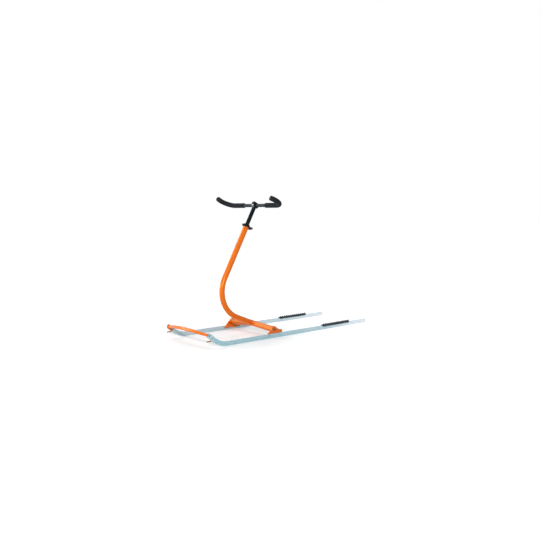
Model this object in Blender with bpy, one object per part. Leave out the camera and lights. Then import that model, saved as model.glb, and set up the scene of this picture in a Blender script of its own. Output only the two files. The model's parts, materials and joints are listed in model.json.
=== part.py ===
"""Kicksled: two flat-bar runners under a bent post, with a telescoping stem and a bullhorn bar.

Metres, +Z up. The sled faces -Y and stands on z = 0, with the middle of its outer box over
the origin. Stations are distances rearwards (+Y) from the front end of the runners.
"""

import math

import bmesh
import bpy
from mathutils import Matrix, Vector

# Clearance between pieces that touch, and how finely arcs and rounds are cut
GAP = 0.0003
ARC_STEP = math.radians(8)
FINE_RADIUS = 0.015
FINE_ARC_STEP = math.radians(30)
TUBE_SIDES = 20
BAR_SIDES = 14
FASTENER_SIDES = 10
HOLE_SIDES = 12
SHARP_ANGLE = math.radians(35)
OVERCUT = 0.004
ROUND_SIDES = 28
EDGE = 0.0008
OVERLAP = 0.0006

# Runners: flat bar on edge, bent up in its own plane at the front
RUNNER_SPACING = 0.480
RUNNER_LENGTH = 1.541
RUNNER_HEIGHT = 0.033
RUNNER_THICKNESS = 0.006
RUNNER_TIP_RADIUS = 0.200
RUNNER_TIP_ANGLE = math.radians(40)
RUNNER_TIP_STRAIGHT = 0.015
RUNNER_TIP_REACH = 0.032
RUNNER_TIP_CORNER = 0.0135
RUNNER_CORNER = 0.007
RUNNER_EDGE = 0.0007

# Cross tube: three bends lift its middle, and its level ends sit in the brackets
CROSS_STATION = 0.552
CROSS_DIAMETER = 0.042
CROSS_WALL = 0.002
CROSS_LIFT = 0.0037
CROSS_RISE = 0.0165
CROSS_END_STRAIGHT = 0.016
CROSS_MIDDLE_RADIUS = 0.200
CROSS_END_RADIUS = 0.060

# Post: one tube that leans back, bends round and runs back down to the cross tube
POST_DIAMETER = 0.040
POST_WALL = 0.002
POST_LEAN = math.radians(28.8)
POST_LEG_SLOPE = math.radians(22)
POST_LEG = 0.390
POST_UPPER = 0.653
POST_BEND_RADIUS = 0.203
POST_SLIT_WIDTH = 0.003
POST_SLIT_LENGTH = 0.034

# Brackets: a cheek with a socket for the cross tube, a web on the runner and a flange inside it
CHEEK_THICKNESS = 0.008
CHEEK_TOE = 0.057
CHEEK_HEEL = 0.074
CHEEK_TOE_HEIGHT = 0.003
CHEEK_HEEL_HEIGHT = 0.021
CHEEK_NOTCH = 0.047
CHEEK_NOTCH_HEIGHT = 0.024
CHEEK_SHOULDER = (0.72, 0.58)
HUB_WALL = 0.0025
HUB_DEPTH = 0.026
HUB_CHAMFER = 0.0012
WEB_THICKNESS = 0.0075
FLANGE_THICKNESS = 0.006
FLANGE_LAP = 0.0185
FLANGE_TOE = 0.075
FLANGE_TOE_HEIGHT = 0.004
FLANGE_CORNER = 0.002
BRACKET_BOLT_DROP = 0.0105
BRACKET_BOLT_FRONT = 0.046
BRACKET_BOLT_REAR = 0.050

# Plug inside each end of the cross tube, which the end screw is driven into
PLUG_LENGTH = 0.014
PLUG_INSET = 0.002

# Front bow: a tube arched up and forward between two hook plates on the runner tips
BOW_DIAMETER = 0.024
BOW_END_DIAMETER = 0.016
BOW_HEIGHT = 0.0875
BOW_REACH = 0.018
BOW_BULGE = 0.034
BOW_RISE = 0.0195
BOW_STEPS = 16
BOW_SCREW_DEPTH = 0.012
HOOK_THICKNESS = 0.006
HOOK_PRONG_THICKNESS = 0.0046
HOOK_BOSS_RADIUS = 0.0140
HOOK_EYE_RADIUS = 0.0145
HOOK_BOLT_SETBACK = 0.010
HOOK_BOLT_RISE = 0.003
HOOK_PRONG_DROP = 0.039
HOOK_PRONG_REACH = 0.006
HOOK_PRONG_ROOT_RADIUS = 0.010
HOOK_PRONG_TIP_RADIUS = 0.0055

# Foot treads: a toothed plate with a skirt each side of the runner
TREAD_STATION = 1.187
TREAD_LENGTH = 0.302
TREAD_WIDTH = 0.040
TREAD_PLATE = 0.0078
TREAD_TOOTH = 0.0057
TREAD_TEETH = 13
TREAD_SKIRT = 0.0075
TREAD_LAP = 0.0095
TREAD_END_SLOPE = 0.7
TREAD_SHOULDER = 0.001
TREAD_TOOTH_REAR = 0.12
TREAD_TOOTH_FRONT = 0.46
TREAD_VALLEY_REAR = 0.62
TREAD_VALLEY_FRONT = 0.96
TREAD_BOLT_DROP = 0.005
TREAD_BOLT_SPREAD = 0.190

# Stem: slides in a split bush in the post's mouth
BUSH_WALL = 0.0031
BUSH_LENGTH = 0.060
BUSH_FLANGE = 0.003
BUSH_SLIT_WIDTH = 0.0018
BUSH_SCREW_DROP = 0.028
BUSH_SCREW_ANGLE = math.radians(-33)
BUSH_SCREW_BITE = 0.7
STEM_WALL = 0.002
STEM_RISE = 0.1573
STEM_INSERT = 0.235

# Clamp collar round the post's mouth, pinched by a cam lever
COLLAR_WALL = 0.0038
COLLAR_HEIGHT = 0.017
COLLAR_DROP = 0.003
LUG_WIDTH = 0.010
LUG_MARGIN = 0.0085
LUG_CORNER = 0.004
SKEWER_CLEARANCE = 0.012
SKEWER_RADIUS = 0.0025
BARREL_RADIUS = 0.0037
SADDLE_THICKNESS = 0.0025
SADDLE_REACH = 0.007
SADDLE_WRAP = 0.7
CAM_RADIUS = 0.0085
CAM_THROW = 0.0012
LEVER_WIDTH = 0.014
LEVER_LENGTH = 0.050
LEVER_THICKNESS = 0.005
LEVER_TAPER = 0.5
LEVER_CORNER = 0.0004
LEVER_RISE = 0.009
LEVER_FLARE = 0.003
LEVER_SHAPE = ((-0.04, 0), (-0.20, -0.30), (-0.235, -0.74), (-0.34, -0.94))
LEVER_FORK_SLOT = 0.0064
KNOB_RADIUS = 0.0095
KNOB_LENGTH = 0.015
KNOB_FLUTES = 8
KNOB_FLUTE_DEPTH = 0.0008
KNOB_CHAMFER = 0.0015

# Stem head: a saddle on the stem, and a cap over the bar that two bolts hold down
HEAD_NECK = 0.030
HEAD_SPIGOT = 0.020
HEAD_LENGTH = 0.048
HEAD_WIDTH = 0.030
HEAD_WAIST = 0.031
HEAD_DEPTH = 0.0185
HEAD_LIP = 0.005
HEAD_SPLIT = 0.002
HEAD_CAP_HEIGHT = 0.0195
HEAD_CORNER = 0.003
CAP_BOLT_SPREAD = 0.037
CAP_BOLT_DEPTH = 0.0105

# Bullhorn bar, its grips and end plugs
BAR_DIAMETER = 0.0254
BAR_WALL = 0.002
BAR_CORNER = 0.336
BAR_HORN = 0.1275
BAR_BEND_RADIUS = 0.0768
BAR_BEND = math.radians(110)
BAR_HORN_RISE = math.radians(23.5)
GRIP_START = 0.120
GRIP_THICKNESS = 0.005
GRIP_ROUNDING = 0.0022
PLUG_CAP = 0.006
PLUG_STEM = 0.016
PLUG_SHAPE = ((1.0, 0.3), (0.9, 0.75), (0.6, 1.0))

# Fasteners: shank radius, head radius, head height; nuts take across flats and height
M8 = (0.0040, 0.0072, 0.0045)
M6 = (0.0030, 0.0056, 0.0036)
M4 = (0.0020, 0.0037, 0.0022)
M6_NUT = (0.0100, 0.0050)
M4_NUT = (0.0070, 0.0032)
THREAD_SHOWING = 0.0015

# Places worked out from the sizes above
X_AXIS = Vector((1, 0, 0))
Y_AXIS = Vector((0, 1, 0))
Z_AXIS = Vector((0, 0, 1))
SIDES = (("left", 1), ("right", -1))
FORWARDS = (math.pi / 2, 0, 0)
BACKWARDS = (-math.pi / 2, 0, 0)
RUNNER_X = RUNNER_SPACING / 2
RUNNER_INNER_X = RUNNER_X - RUNNER_THICKNESS / 2
RUNNER_OUTER_X = RUNNER_X + RUNNER_THICKNESS / 2
RUNNER_TANGENT = RUNNER_TIP_RADIUS * math.tan(RUNNER_TIP_ANGLE / 2) + RUNNER_TIP_STRAIGHT
RUNNER_DIRECTION = Vector((0, -math.cos(RUNNER_TIP_ANGLE), math.sin(RUNNER_TIP_ANGLE)))
RUNNER_KNEE = Vector((0, RUNNER_TANGENT * math.cos(RUNNER_TIP_ANGLE), RUNNER_HEIGHT / 2))
RUNNER_TIP = RUNNER_KNEE + RUNNER_DIRECTION * RUNNER_TANGENT
FRONT_STATION = -(BOW_REACH + BOW_BULGE + BOW_DIAMETER / 2)
ROOT_Y = -(RUNNER_LENGTH + FRONT_STATION) / 2

CROSS_RADIUS = CROSS_DIAMETER / 2
CROSS_BORE = CROSS_RADIUS - CROSS_WALL
HUB_RADIUS = CROSS_RADIUS + GAP + HUB_WALL
CROSS_END_HEIGHT = RUNNER_HEIGHT + CROSS_LIFT + HUB_RADIUS
CROSS_END_X = RUNNER_OUTER_X - CHEEK_THICKNESS - GAP
CROSS_BEND_X = CROSS_END_X - CROSS_END_STRAIGHT
CROSS_SLOPE = math.atan2(CROSS_RISE, CROSS_BEND_X)
CROSS_MIDDLE_HEIGHT = (
    CROSS_END_HEIGHT + CROSS_RISE - CROSS_MIDDLE_RADIUS * (1 / math.cos(CROSS_SLOPE) - 1)
)

POST_RADIUS = POST_DIAMETER / 2
POST_BORE = POST_RADIUS - POST_WALL
POST_FOOT = Vector((0, CROSS_STATION, CROSS_MIDDLE_HEIGHT))
POST_LEG_DIRECTION = Vector((0, -math.cos(POST_LEG_SLOPE), math.sin(POST_LEG_SLOPE)))
POST_DIRECTION = Vector((0, math.sin(POST_LEAN), math.cos(POST_LEAN)))
POST_KNEE = POST_FOOT + POST_LEG_DIRECTION * POST_LEG
POST_TOP = POST_KNEE + POST_DIRECTION * POST_UPPER

BUSH_BORE = POST_BORE - GAP - BUSH_WALL
BUSH_SCREW_DEPTH = POST_WALL + GAP + BUSH_WALL * BUSH_SCREW_BITE
BUSH_SCREW_PLACE = Vector((
    POST_RADIUS * math.cos(BUSH_SCREW_ANGLE),
    POST_RADIUS * math.sin(BUSH_SCREW_ANGLE),
    -BUSH_SCREW_DROP,
))
BUSH_SCREW_TURN = (0, math.pi / 2, BUSH_SCREW_ANGLE)
STEM_RADIUS = BUSH_BORE - GAP
STEM_BORE = STEM_RADIUS - STEM_WALL
COLLAR_BORE = POST_RADIUS + GAP
COLLAR_RADIUS = COLLAR_BORE + COLLAR_WALL
COLLAR_LOW = -COLLAR_DROP - COLLAR_HEIGHT
COLLAR_MIDDLE = -COLLAR_DROP - COLLAR_HEIGHT / 2
SKEWER_REACH = COLLAR_RADIUS + SKEWER_CLEARANCE
LUG_REACH = SKEWER_REACH + LUG_MARGIN
CAM_REACH = CAM_RADIUS + CAM_THROW
PIVOT_X = -(LUG_WIDTH + GAP + SADDLE_THICKNESS + GAP + CAM_REACH)

BAR_RADIUS = BAR_DIAMETER / 2
BAR_BORE = BAR_RADIUS - BAR_WALL
HEAD_BORE = BAR_RADIUS + GAP
GRIP_RADIUS = BAR_RADIUS + GAP + GRIP_THICKNESS


def material(name, colour, roughness, metallic=0.0):
    """A Principled material."""
    made = bpy.data.materials.new(name)
    made.use_nodes = True
    shader = made.node_tree.nodes["Principled BSDF"]
    shader.inputs["Base Color"].default_value = (*colour, 1.0)
    shader.inputs["Roughness"].default_value = roughness
    shader.inputs["Metallic"].default_value = metallic
    made.diffuse_color = (*colour, 1.0)
    return made


def add_empty(name, parent=None, location=(0, 0, 0), rotation=(0, 0, 0)):
    """A frame that pieces are placed in."""
    frame = bpy.data.objects.new(name, None)
    frame.empty_display_size = 0.05
    frame.parent = parent
    frame.location = location
    frame.rotation_euler = rotation
    bpy.context.scene.collection.objects.link(frame)
    return frame


def finished_mesh(name, bm, finish):
    """A mesh, smooth but for its sharp edges."""
    bmesh.ops.recalc_face_normals(bm, faces=bm.faces)
    mesh = bpy.data.meshes.new(name)
    bm.to_mesh(mesh)
    bm.free()
    mesh.shade_smooth()
    mesh.set_sharp_from_angle(angle=SHARP_ANGLE)
    if finish:
        mesh.materials.append(finish)
    return mesh


def add_object(name, bm, finish, parent, location=(0, 0, 0), rotation=(0, 0, 0)):
    """An object with a mesh of its own."""
    return add_copy(name, finished_mesh(name, bm, finish), parent, location, rotation)


def add_copy(name, mesh, parent, location=(0, 0, 0), rotation=(0, 0, 0)):
    """An object with a mesh that others may share."""
    made = bpy.data.objects.new(name, mesh)
    made.parent = parent
    made.location = location
    made.rotation_euler = rotation
    bpy.context.scene.collection.objects.link(made)
    return made


def add_tool(name, bm, parent, location=(0, 0, 0), rotation=(0, 0, 0)):
    """A helper that a Boolean cuts with or joins on, left out of the part."""
    tool = add_object(name, bm, None, parent, location, rotation)
    tool.hide_render = True
    tool.display_type = "WIRE"
    return tool


def combine(piece, operation, tool):
    """Cuts the tool from the piece, or joins it on."""
    boolean = piece.modifiers.new(tool.name, "BOOLEAN")
    boolean.operation = operation
    boolean.object = tool
    boolean.solver = "EXACT"


def soften(piece, width=EDGE):
    """Bevels the piece's sharp edges."""
    bevel = piece.modifiers.new("edges", "BEVEL")
    bevel.width = width
    bevel.segments = 1
    bevel.limit_method = "ANGLE"
    bevel.angle_limit = SHARP_ANGLE
    bevel.harden_normals = False


def corner_arc(before, corner, after, radius):
    """The points of the arc that rounds one corner of a path."""
    back = (before - corner).normalized()
    ahead = (after - corner).normalized()
    half = back.angle(ahead) / 2
    centre = corner + (back + ahead).normalized() * radius / math.sin(half)
    spoke = corner + back * radius / math.tan(half) - centre
    axis = spoke.cross(-back).normalized()
    turn = math.pi - 2 * half
    step = FINE_ARC_STEP if radius < FINE_RADIUS else ARC_STEP
    steps = max(2, math.ceil(turn / step))
    return [
        centre + Matrix.Rotation(turn * i / steps, 3, axis) @ spoke for i in range(steps + 1)
    ]


def rounded_path(corners, radii):
    """An open path through the corners, whose inner corners are rounded."""
    path = [corners[0]]
    for i, radius in enumerate(radii, start=1):
        path += corner_arc(corners[i - 1], corners[i], corners[i + 1], radius)
    return path + [corners[-1]]


def rounded_outline(corners, radii):
    """A closed outline, whose corners with a radius are rounded."""
    outline = []
    for i, radius in enumerate(radii):
        corner = corners[i]
        if radius:
            outline += corner_arc(corners[i - 1], corner, corners[(i + 1) % len(corners)], radius)
        else:
            outline.append(corner)
    return outline


def directions(path):
    """The path's direction at each of its points."""
    runs = [(b - a).normalized() for a, b in zip(path, path[1:])]
    return [(a + b).normalized() for a, b in zip([runs[0]] + runs, runs + [runs[-1]])]


def strip_outline(path, half_widths, across):
    """The closed outline of a strip along a plane path; across is square to the plane."""
    sides = [way.cross(across) for way in directions(path)]
    upper = [p + side * half for p, side, half in zip(path, sides, half_widths)]
    lower = [p - side * half for p, side, half in zip(path, sides, half_widths)]
    return upper + lower[::-1]


def circle(radius, count, centre=Vector((0, 0, 0)), across=Z_AXIS, first=X_AXIS):
    """Points round a circle that is square to across."""
    second = across.cross(first)
    turns = [2 * math.pi * i / count for i in range(count)]
    return [centre + (first * math.cos(t) + second * math.sin(t)) * radius for t in turns]


def loft(bm, rings, closed=False):
    """Faces between rings of as many points, with flat ends unless it closes on itself."""
    loops = [[bm.verts.new(p) for p in ring] for ring in rings]
    pairs = list(zip(loops, loops[1:]))
    if closed:
        pairs.append((loops[-1], loops[0]))
    else:
        bm.faces.new(loops[0])
        bm.faces.new(loops[-1][::-1])
    for low, high in pairs:
        for i in range(len(low)):
            bm.faces.new((low[i - 1], low[i], high[i], high[i - 1]))
    return bm


def prism(outline, along):
    """A flat outline pushed along a vector."""
    return loft(bmesh.new(), [outline, [p + along for p in outline]])


def box(low, high):
    """A box between two corners."""
    corners = [(low[0], low[1]), (high[0], low[1]), (high[0], high[1]), (low[0], high[1])]
    return prism([Vector((x, y, low[2])) for x, y in corners], Z_AXIS * (high[2] - low[2]))


def swept_tube(path, across, radii, bore=None, sides=TUBE_SIDES, square_to=None):
    """A tube along a plane path, with a radius at each point and ends square to a direction."""
    ways = directions(path)
    if square_to:
        ways[0] = ways[-1] = square_to
    ups = [across.cross(way).normalized() for way in ways]
    outer = [
        circle(radius, sides, point, way, up)
        for point, way, up, radius in zip(path, ways, ups, radii)
    ]
    if not bore:
        return loft(bmesh.new(), outer)
    inner = [circle(bore, sides, point, way, up) for point, way, up in zip(path, ways, ups)]
    return loft(bmesh.new(), outer + inner[::-1], closed=True)


def turned(profile, sides=TUBE_SIDES, closed=False):
    """A shape turned about Z from (radius, height) points, hollow when the profile closes."""
    rings = [circle(radius, sides, Z_AXIS * height) for radius, height in profile]
    return loft(bmesh.new(), rings, closed)


def round_rod(radius, low, high, sides=HOLE_SIDES):
    """A rod along Z."""
    return turned([(radius, low), (radius, high)], sides)


def round_disc(radius, low, high, sides):
    """A disc along Z with softened rims."""
    return turned([
        (radius - EDGE, low),
        (radius, low + EDGE),
        (radius, high - EDGE),
        (radius - EDGE, high),
    ], sides)


def link_outline(start, start_radius, end, end_radius, across):
    """The outline round two circles, tangent to both."""
    way = (end - start).normalized()
    lean = math.acos((start_radius - end_radius) / (end - start).length)
    outline = []
    for centre, radius, low, high in (
        (end, end_radius, -lean, lean),
        (start, start_radius, lean, 2 * math.pi - lean),
    ):
        steps = max(4, math.ceil((high - low) / FINE_ARC_STEP))
        for i in range(steps + 1):
            turn = low + (high - low) * i / steps
            outline.append(centre + Matrix.Rotation(turn, 3, across) @ way * radius)
    return outline


def yz(station, height):
    """A point of a side outline."""
    return Vector((0, station, height))


def facing(side):
    """The rotation that turns +Z outwards on one side of the sled."""
    return (0, side * math.pi / 2, 0)


def bolt_mesh(name, size, grip, finish):
    """A button-head bolt along Z, its seat at 0, long enough for what it grips."""
    shank, head, height = size
    profile = [
        (shank, -grip),
        (shank, GAP),
        (head, GAP),
        (head, GAP + height * 0.4),
        (head * 0.6, GAP + height),
    ]
    return finished_mesh(name, turned(profile, FASTENER_SIDES), finish)


def nut_mesh(name, size, shank, finish):
    """A hexagon nut along Z, its seat at 0, threaded on a shank."""
    across_flats, height = size
    flat = across_flats / 2
    corners = circle(flat / math.cos(math.pi / 6), 6)
    hexagon = []
    for a, b in zip(corners, corners[1:] + corners[:1]):
        hexagon += [a, (a + b) / 2]
    rings = []
    bore = circle(shank + GAP, len(hexagon))
    for ring, level in ((hexagon, GAP), (hexagon, height), (bore, height), (bore, GAP)):
        rings.append([p + Z_AXIS * level for p in ring])
    return finished_mesh(name, loft(bmesh.new(), rings, closed=True), finish)


def drill(piece, name, parent, holes):
    """Cuts round holes along X; each is (centre, radius, length)."""
    bm = bmesh.new()
    for centre, radius, length in holes:
        ends = (centre - X_AXIS * length / 2, centre + X_AXIS * length / 2)
        loft(bm, [circle(radius, HOLE_SIDES, end, X_AXIS, Y_AXIS) for end in ends])
    combine(piece, "DIFFERENCE", add_tool(name, bm, parent))


def bracket_bolt_places():
    """Where the bolts of a bracket cross the runner."""
    height = RUNNER_HEIGHT - BRACKET_BOLT_DROP
    return (
        ("front", yz(CROSS_STATION - BRACKET_BOLT_FRONT, height)),
        ("rear", yz(CROSS_STATION + BRACKET_BOLT_REAR, height)),
    )


def tread_bolt_places():
    """Where the bolts of a foot tread cross the runner."""
    height = RUNNER_HEIGHT - TREAD_BOLT_DROP
    return (
        ("front", yz(TREAD_STATION - TREAD_BOLT_SPREAD / 2, height)),
        ("rear", yz(TREAD_STATION + TREAD_BOLT_SPREAD / 2, height)),
    )


def hook_bolt_place():
    """Where the hook plate's bolt crosses the runner's tip."""
    return RUNNER_TIP - RUNNER_DIRECTION * HOOK_BOLT_SETBACK + Z_AXIS * HOOK_BOLT_RISE


def bow_end_place():
    """Where the bow's end screw crosses the runner's tip."""
    return yz(-BOW_REACH, BOW_HEIGHT)


def make_runner(name, side, root, finish):
    """A flat bar on edge with a lifted tip, drilled for its bolts."""
    tail = yz(RUNNER_LENGTH, RUNNER_HEIGHT / 2)
    end = RUNNER_TIP + RUNNER_DIRECTION * RUNNER_TIP_REACH
    path = rounded_path([tail, RUNNER_KNEE, end], [RUNNER_TIP_RADIUS])
    edges = strip_outline(path, [RUNNER_HEIGHT / 2] * len(path), X_AXIS)
    last = len(path) - 1
    radii = [0] * len(edges)
    radii[0] = radii[-1] = RUNNER_CORNER
    radii[last] = radii[last + 1] = RUNNER_TIP_CORNER
    outline = [p - X_AXIS * RUNNER_THICKNESS / 2 for p in rounded_outline(edges, radii)]
    place = X_AXIS * side * RUNNER_X
    runner = add_object(name, prism(outline, X_AXIS * RUNNER_THICKNESS), finish, root, place)
    soften(runner, RUNNER_EDGE)
    through = RUNNER_THICKNESS + 2 * OVERCUT
    holes = [(p + place, M6[0] + GAP, through) for _, p in bracket_bolt_places()]
    holes += [(p + place, M4[0] + GAP, through) for _, p in tread_bolt_places()]
    holes.append((hook_bolt_place() + place, M6[0] + GAP, through))
    holes.append((bow_end_place() + place, M6[0] + GAP, through))
    drill(runner, name + "_holes", root, holes)


def cross_path():
    """The cross tube's middle line."""
    ends = CROSS_END_HEIGHT
    corners = [
        Vector((-CROSS_END_X, CROSS_STATION, ends)),
        Vector((-CROSS_BEND_X, CROSS_STATION, ends)),
        Vector((0, CROSS_STATION, ends + CROSS_RISE)),
        Vector((CROSS_BEND_X, CROSS_STATION, ends)),
        Vector((CROSS_END_X, CROSS_STATION, ends)),
    ]
    return rounded_path(corners, [CROSS_END_RADIUS, CROSS_MIDDLE_RADIUS, CROSS_END_RADIUS])


def make_cross_tube(root, finish):
    """The tube between the brackets."""
    path = cross_path()
    tube = swept_tube(path, Y_AXIS, [CROSS_RADIUS] * len(path), CROSS_BORE)
    add_object("cross_tube", tube, finish, root)


def cut_screw_hole(piece, frame):
    """Cuts the hole of the bush's screw."""
    rod = round_rod(M4[0] + GAP, -BUSH_SCREW_DEPTH - GAP, OVERCUT)
    name = piece.name + "_screw_hole"
    combine(piece, "DIFFERENCE", add_tool(name, rod, frame, BUSH_SCREW_PLACE, BUSH_SCREW_TURN))


def make_post(root, frame, finish):
    """The bent tube, coped onto the cross tube and slit at its mouth."""
    path = rounded_path([POST_TOP, POST_KNEE, POST_FOOT], [POST_BEND_RADIUS])
    tube = swept_tube(path, X_AXIS, [POST_RADIUS] * len(path), POST_BORE)
    post = add_object("post_tube", tube, finish, root)
    saddle_path = cross_path()
    saddle = swept_tube(saddle_path, Y_AXIS, [CROSS_RADIUS + GAP] * len(saddle_path))
    combine(post, "DIFFERENCE", add_tool("post_cope", saddle, root))
    half = POST_SLIT_WIDTH / 2
    corners = [
        Vector((-half, 0, OVERCUT)),
        Vector((half, 0, OVERCUT)),
        Vector((half, 0, -POST_SLIT_LENGTH)),
        Vector((-half, 0, -POST_SLIT_LENGTH)),
    ]
    outline = rounded_outline(corners, [0, 0, half * 0.9, half * 0.9])
    slit = prism(outline, Y_AXIS * (POST_RADIUS + OVERCUT))
    combine(post, "DIFFERENCE", add_tool("post_slit", slit, frame))
    cut_screw_hole(post, frame)


def cheek_outline():
    """The bracket's side outline: a sharp toe, a hump round the tube and a blunt heel."""
    seat = RUNNER_HEIGHT + GAP + OVERLAP * 2
    shoulder = HUB_RADIUS * CHEEK_SHOULDER[0]
    crown = CROSS_END_HEIGHT + HUB_RADIUS * CHEEK_SHOULDER[1]
    corners = [
        (yz(CROSS_STATION - CHEEK_TOE, seat), 0),
        (yz(CROSS_STATION + CHEEK_HEEL, seat), 0.003),
        (yz(CROSS_STATION + CHEEK_HEEL, RUNNER_HEIGHT + CHEEK_HEEL_HEIGHT), 0.006),
        (yz(CROSS_STATION + CHEEK_NOTCH, RUNNER_HEIGHT + CHEEK_NOTCH_HEIGHT), 0.012),
        (yz(CROSS_STATION + shoulder, crown), 0.004),
        (yz(CROSS_STATION - shoulder, crown), 0.004),
        (yz(CROSS_STATION - CHEEK_TOE, seat + CHEEK_TOE_HEIGHT), 0),
    ]
    return rounded_outline([place for place, _ in corners], [radius for _, radius in corners])


def flange_outline():
    """The side outline of the bracket's flange, whose toe stays below the runner's top."""
    lap = RUNNER_HEIGHT - FLANGE_LAP
    top = RUNNER_HEIGHT + GAP + WEB_THICKNESS - OVERLAP
    heel = CROSS_STATION + CHEEK_HEEL - OVERLAP
    corners = [
        (yz(CROSS_STATION - FLANGE_TOE + FLANGE_TOE_HEIGHT, lap), FLANGE_CORNER),
        (yz(heel, lap), FLANGE_CORNER * 2),
        (yz(heel, top), 0),
        (yz(CROSS_STATION - CHEEK_TOE + FLANGE_TOE_HEIGHT, top), 0),
        (yz(CROSS_STATION - FLANGE_TOE, lap + FLANGE_TOE_HEIGHT), FLANGE_CORNER),
    ]
    return rounded_outline([place for place, _ in corners], [radius for _, radius in corners])


def make_bracket(name, side, root, finish):
    """A bracket that stands on the runner, laps its inner face and holds the tube's end."""
    outwards = X_AXIS * side
    outer = [p + outwards * RUNNER_OUTER_X for p in cheek_outline()]
    bracket = add_object(name, prism(outer, outwards * -CHEEK_THICKNESS), finish, root)
    soften(bracket)
    seat = RUNNER_HEIGHT + GAP
    flange_x = RUNNER_INNER_X - GAP
    flange_middle = flange_x - FLANGE_THICKNESS / 2
    web_x = sorted((side * flange_middle, side * (RUNNER_OUTER_X - OVERLAP)))
    web = box(
        (web_x[0], CROSS_STATION - CHEEK_TOE + OVERLAP, seat),
        (web_x[1], CROSS_STATION + CHEEK_HEEL - OVERLAP * 2, seat + WEB_THICKNESS),
    )
    combine(bracket, "UNION", add_tool(name + "_web", web, root))
    inner = [p + outwards * flange_x for p in flange_outline()]
    flange = prism(inner, outwards * -FLANGE_THICKNESS)
    combine(bracket, "UNION", add_tool(name + "_flange", flange, root))
    hub = turned(
        [
            (HUB_RADIUS, -HUB_DEPTH),
            (HUB_RADIUS, -HUB_CHAMFER),
            (HUB_RADIUS - HUB_CHAMFER, 0),
        ],
        ROUND_SIDES,
    )
    place = Vector((side * (RUNNER_OUTER_X - OVERLAP), CROSS_STATION, CROSS_END_HEIGHT))
    combine(bracket, "UNION", add_tool(name + "_hub", hub, root, place, facing(side)))
    floor = Vector((side * CROSS_END_X, CROSS_STATION, CROSS_END_HEIGHT))
    socket = round_rod(CROSS_RADIUS + GAP, -HUB_DEPTH - OVERCUT, GAP, ROUND_SIDES)
    combine(bracket, "DIFFERENCE", add_tool(name + "_socket", socket, root, floor, facing(side)))
    holes = [
        (p + outwards * flange_middle, M6[0] + GAP, 2 * (FLANGE_THICKNESS + OVERCUT))
        for _, p in bracket_bolt_places()
    ]
    screw_x = side * (RUNNER_OUTER_X - CHEEK_THICKNESS / 2)
    screw_place = Vector((screw_x, CROSS_STATION, CROSS_END_HEIGHT))
    holes.append((screw_place, M8[0] + GAP, CHEEK_THICKNESS + 2 * OVERCUT))
    drill(bracket, name + "_holes", root, holes)


def make_cross_ends(root, plug_finish, steel):
    """The plugs in the cross tube's ends and the screws that hold the brackets to them."""
    profile = [
        (CROSS_BORE - GAP, -PLUG_LENGTH),
        (CROSS_BORE - GAP, 0),
        (M8[0] + GAP, 0),
        (M8[0] + GAP, -PLUG_LENGTH),
    ]
    plug = finished_mesh("cross_plug", turned(profile, closed=True), plug_finish)
    screw = bolt_mesh("cross_screw", M8, CHEEK_THICKNESS + PLUG_INSET + PLUG_LENGTH, steel)
    for word, side in SIDES:
        place = Vector((side * (CROSS_END_X - PLUG_INSET), CROSS_STATION, CROSS_END_HEIGHT))
        add_copy("cross_plug_" + word, plug, root, place, facing(side))
        place = Vector((side * RUNNER_OUTER_X, CROSS_STATION, CROSS_END_HEIGHT))
        add_copy("cross_screw_" + word, screw, root, place, facing(side))


def make_bracket_fasteners(root, steel):
    """The bolts through each runner and bracket flange, and their nuts."""
    grip = RUNNER_THICKNESS + GAP + FLANGE_THICKNESS + M6_NUT[1] + THREAD_SHOWING
    bolt = bolt_mesh("bracket_bolt", M6, grip, steel)
    nut = nut_mesh("bracket_nut", M6_NUT, M6[0], steel)
    nut_x = RUNNER_INNER_X - GAP - FLANGE_THICKNESS
    for word, side in SIDES:
        for end, place in bracket_bolt_places():
            name = f"{word}_{end}"
            outer = place + X_AXIS * side * RUNNER_OUTER_X
            inner = place + X_AXIS * side * nut_x
            add_copy("bracket_bolt_" + name, bolt, root, outer, facing(side))
            add_copy("bracket_nut_" + name, nut, root, inner, facing(-side))


def make_bow(root, finish):
    """The tube between the hook plates, thinner towards its ends."""
    end_x = RUNNER_INNER_X - GAP - HOOK_THICKNESS - GAP
    path = []
    radii = []
    for i in range(BOW_STEPS + 1):
        share = 2 * i / BOW_STEPS - 1
        lift = math.cos(share * math.pi / 2)
        path.append(
            Vector((share * end_x, -BOW_REACH - BOW_BULGE * lift, BOW_HEIGHT + BOW_RISE * lift))
        )
        radii.append((BOW_END_DIAMETER + (BOW_DIAMETER - BOW_END_DIAMETER) * lift**0.5) / 2)
    across = Vector((0, BOW_RISE, BOW_BULGE)).normalized()
    tube = swept_tube(path, across, radii, sides=BAR_SIDES, square_to=X_AXIS)
    bow = add_object("front_bow", tube, finish, root)
    holes = [(place, M6[0] + GAP, 2 * (BOW_SCREW_DEPTH + GAP)) for place in (path[0], path[-1])]
    drill(bow, "bow_holes", root, holes)


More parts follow.
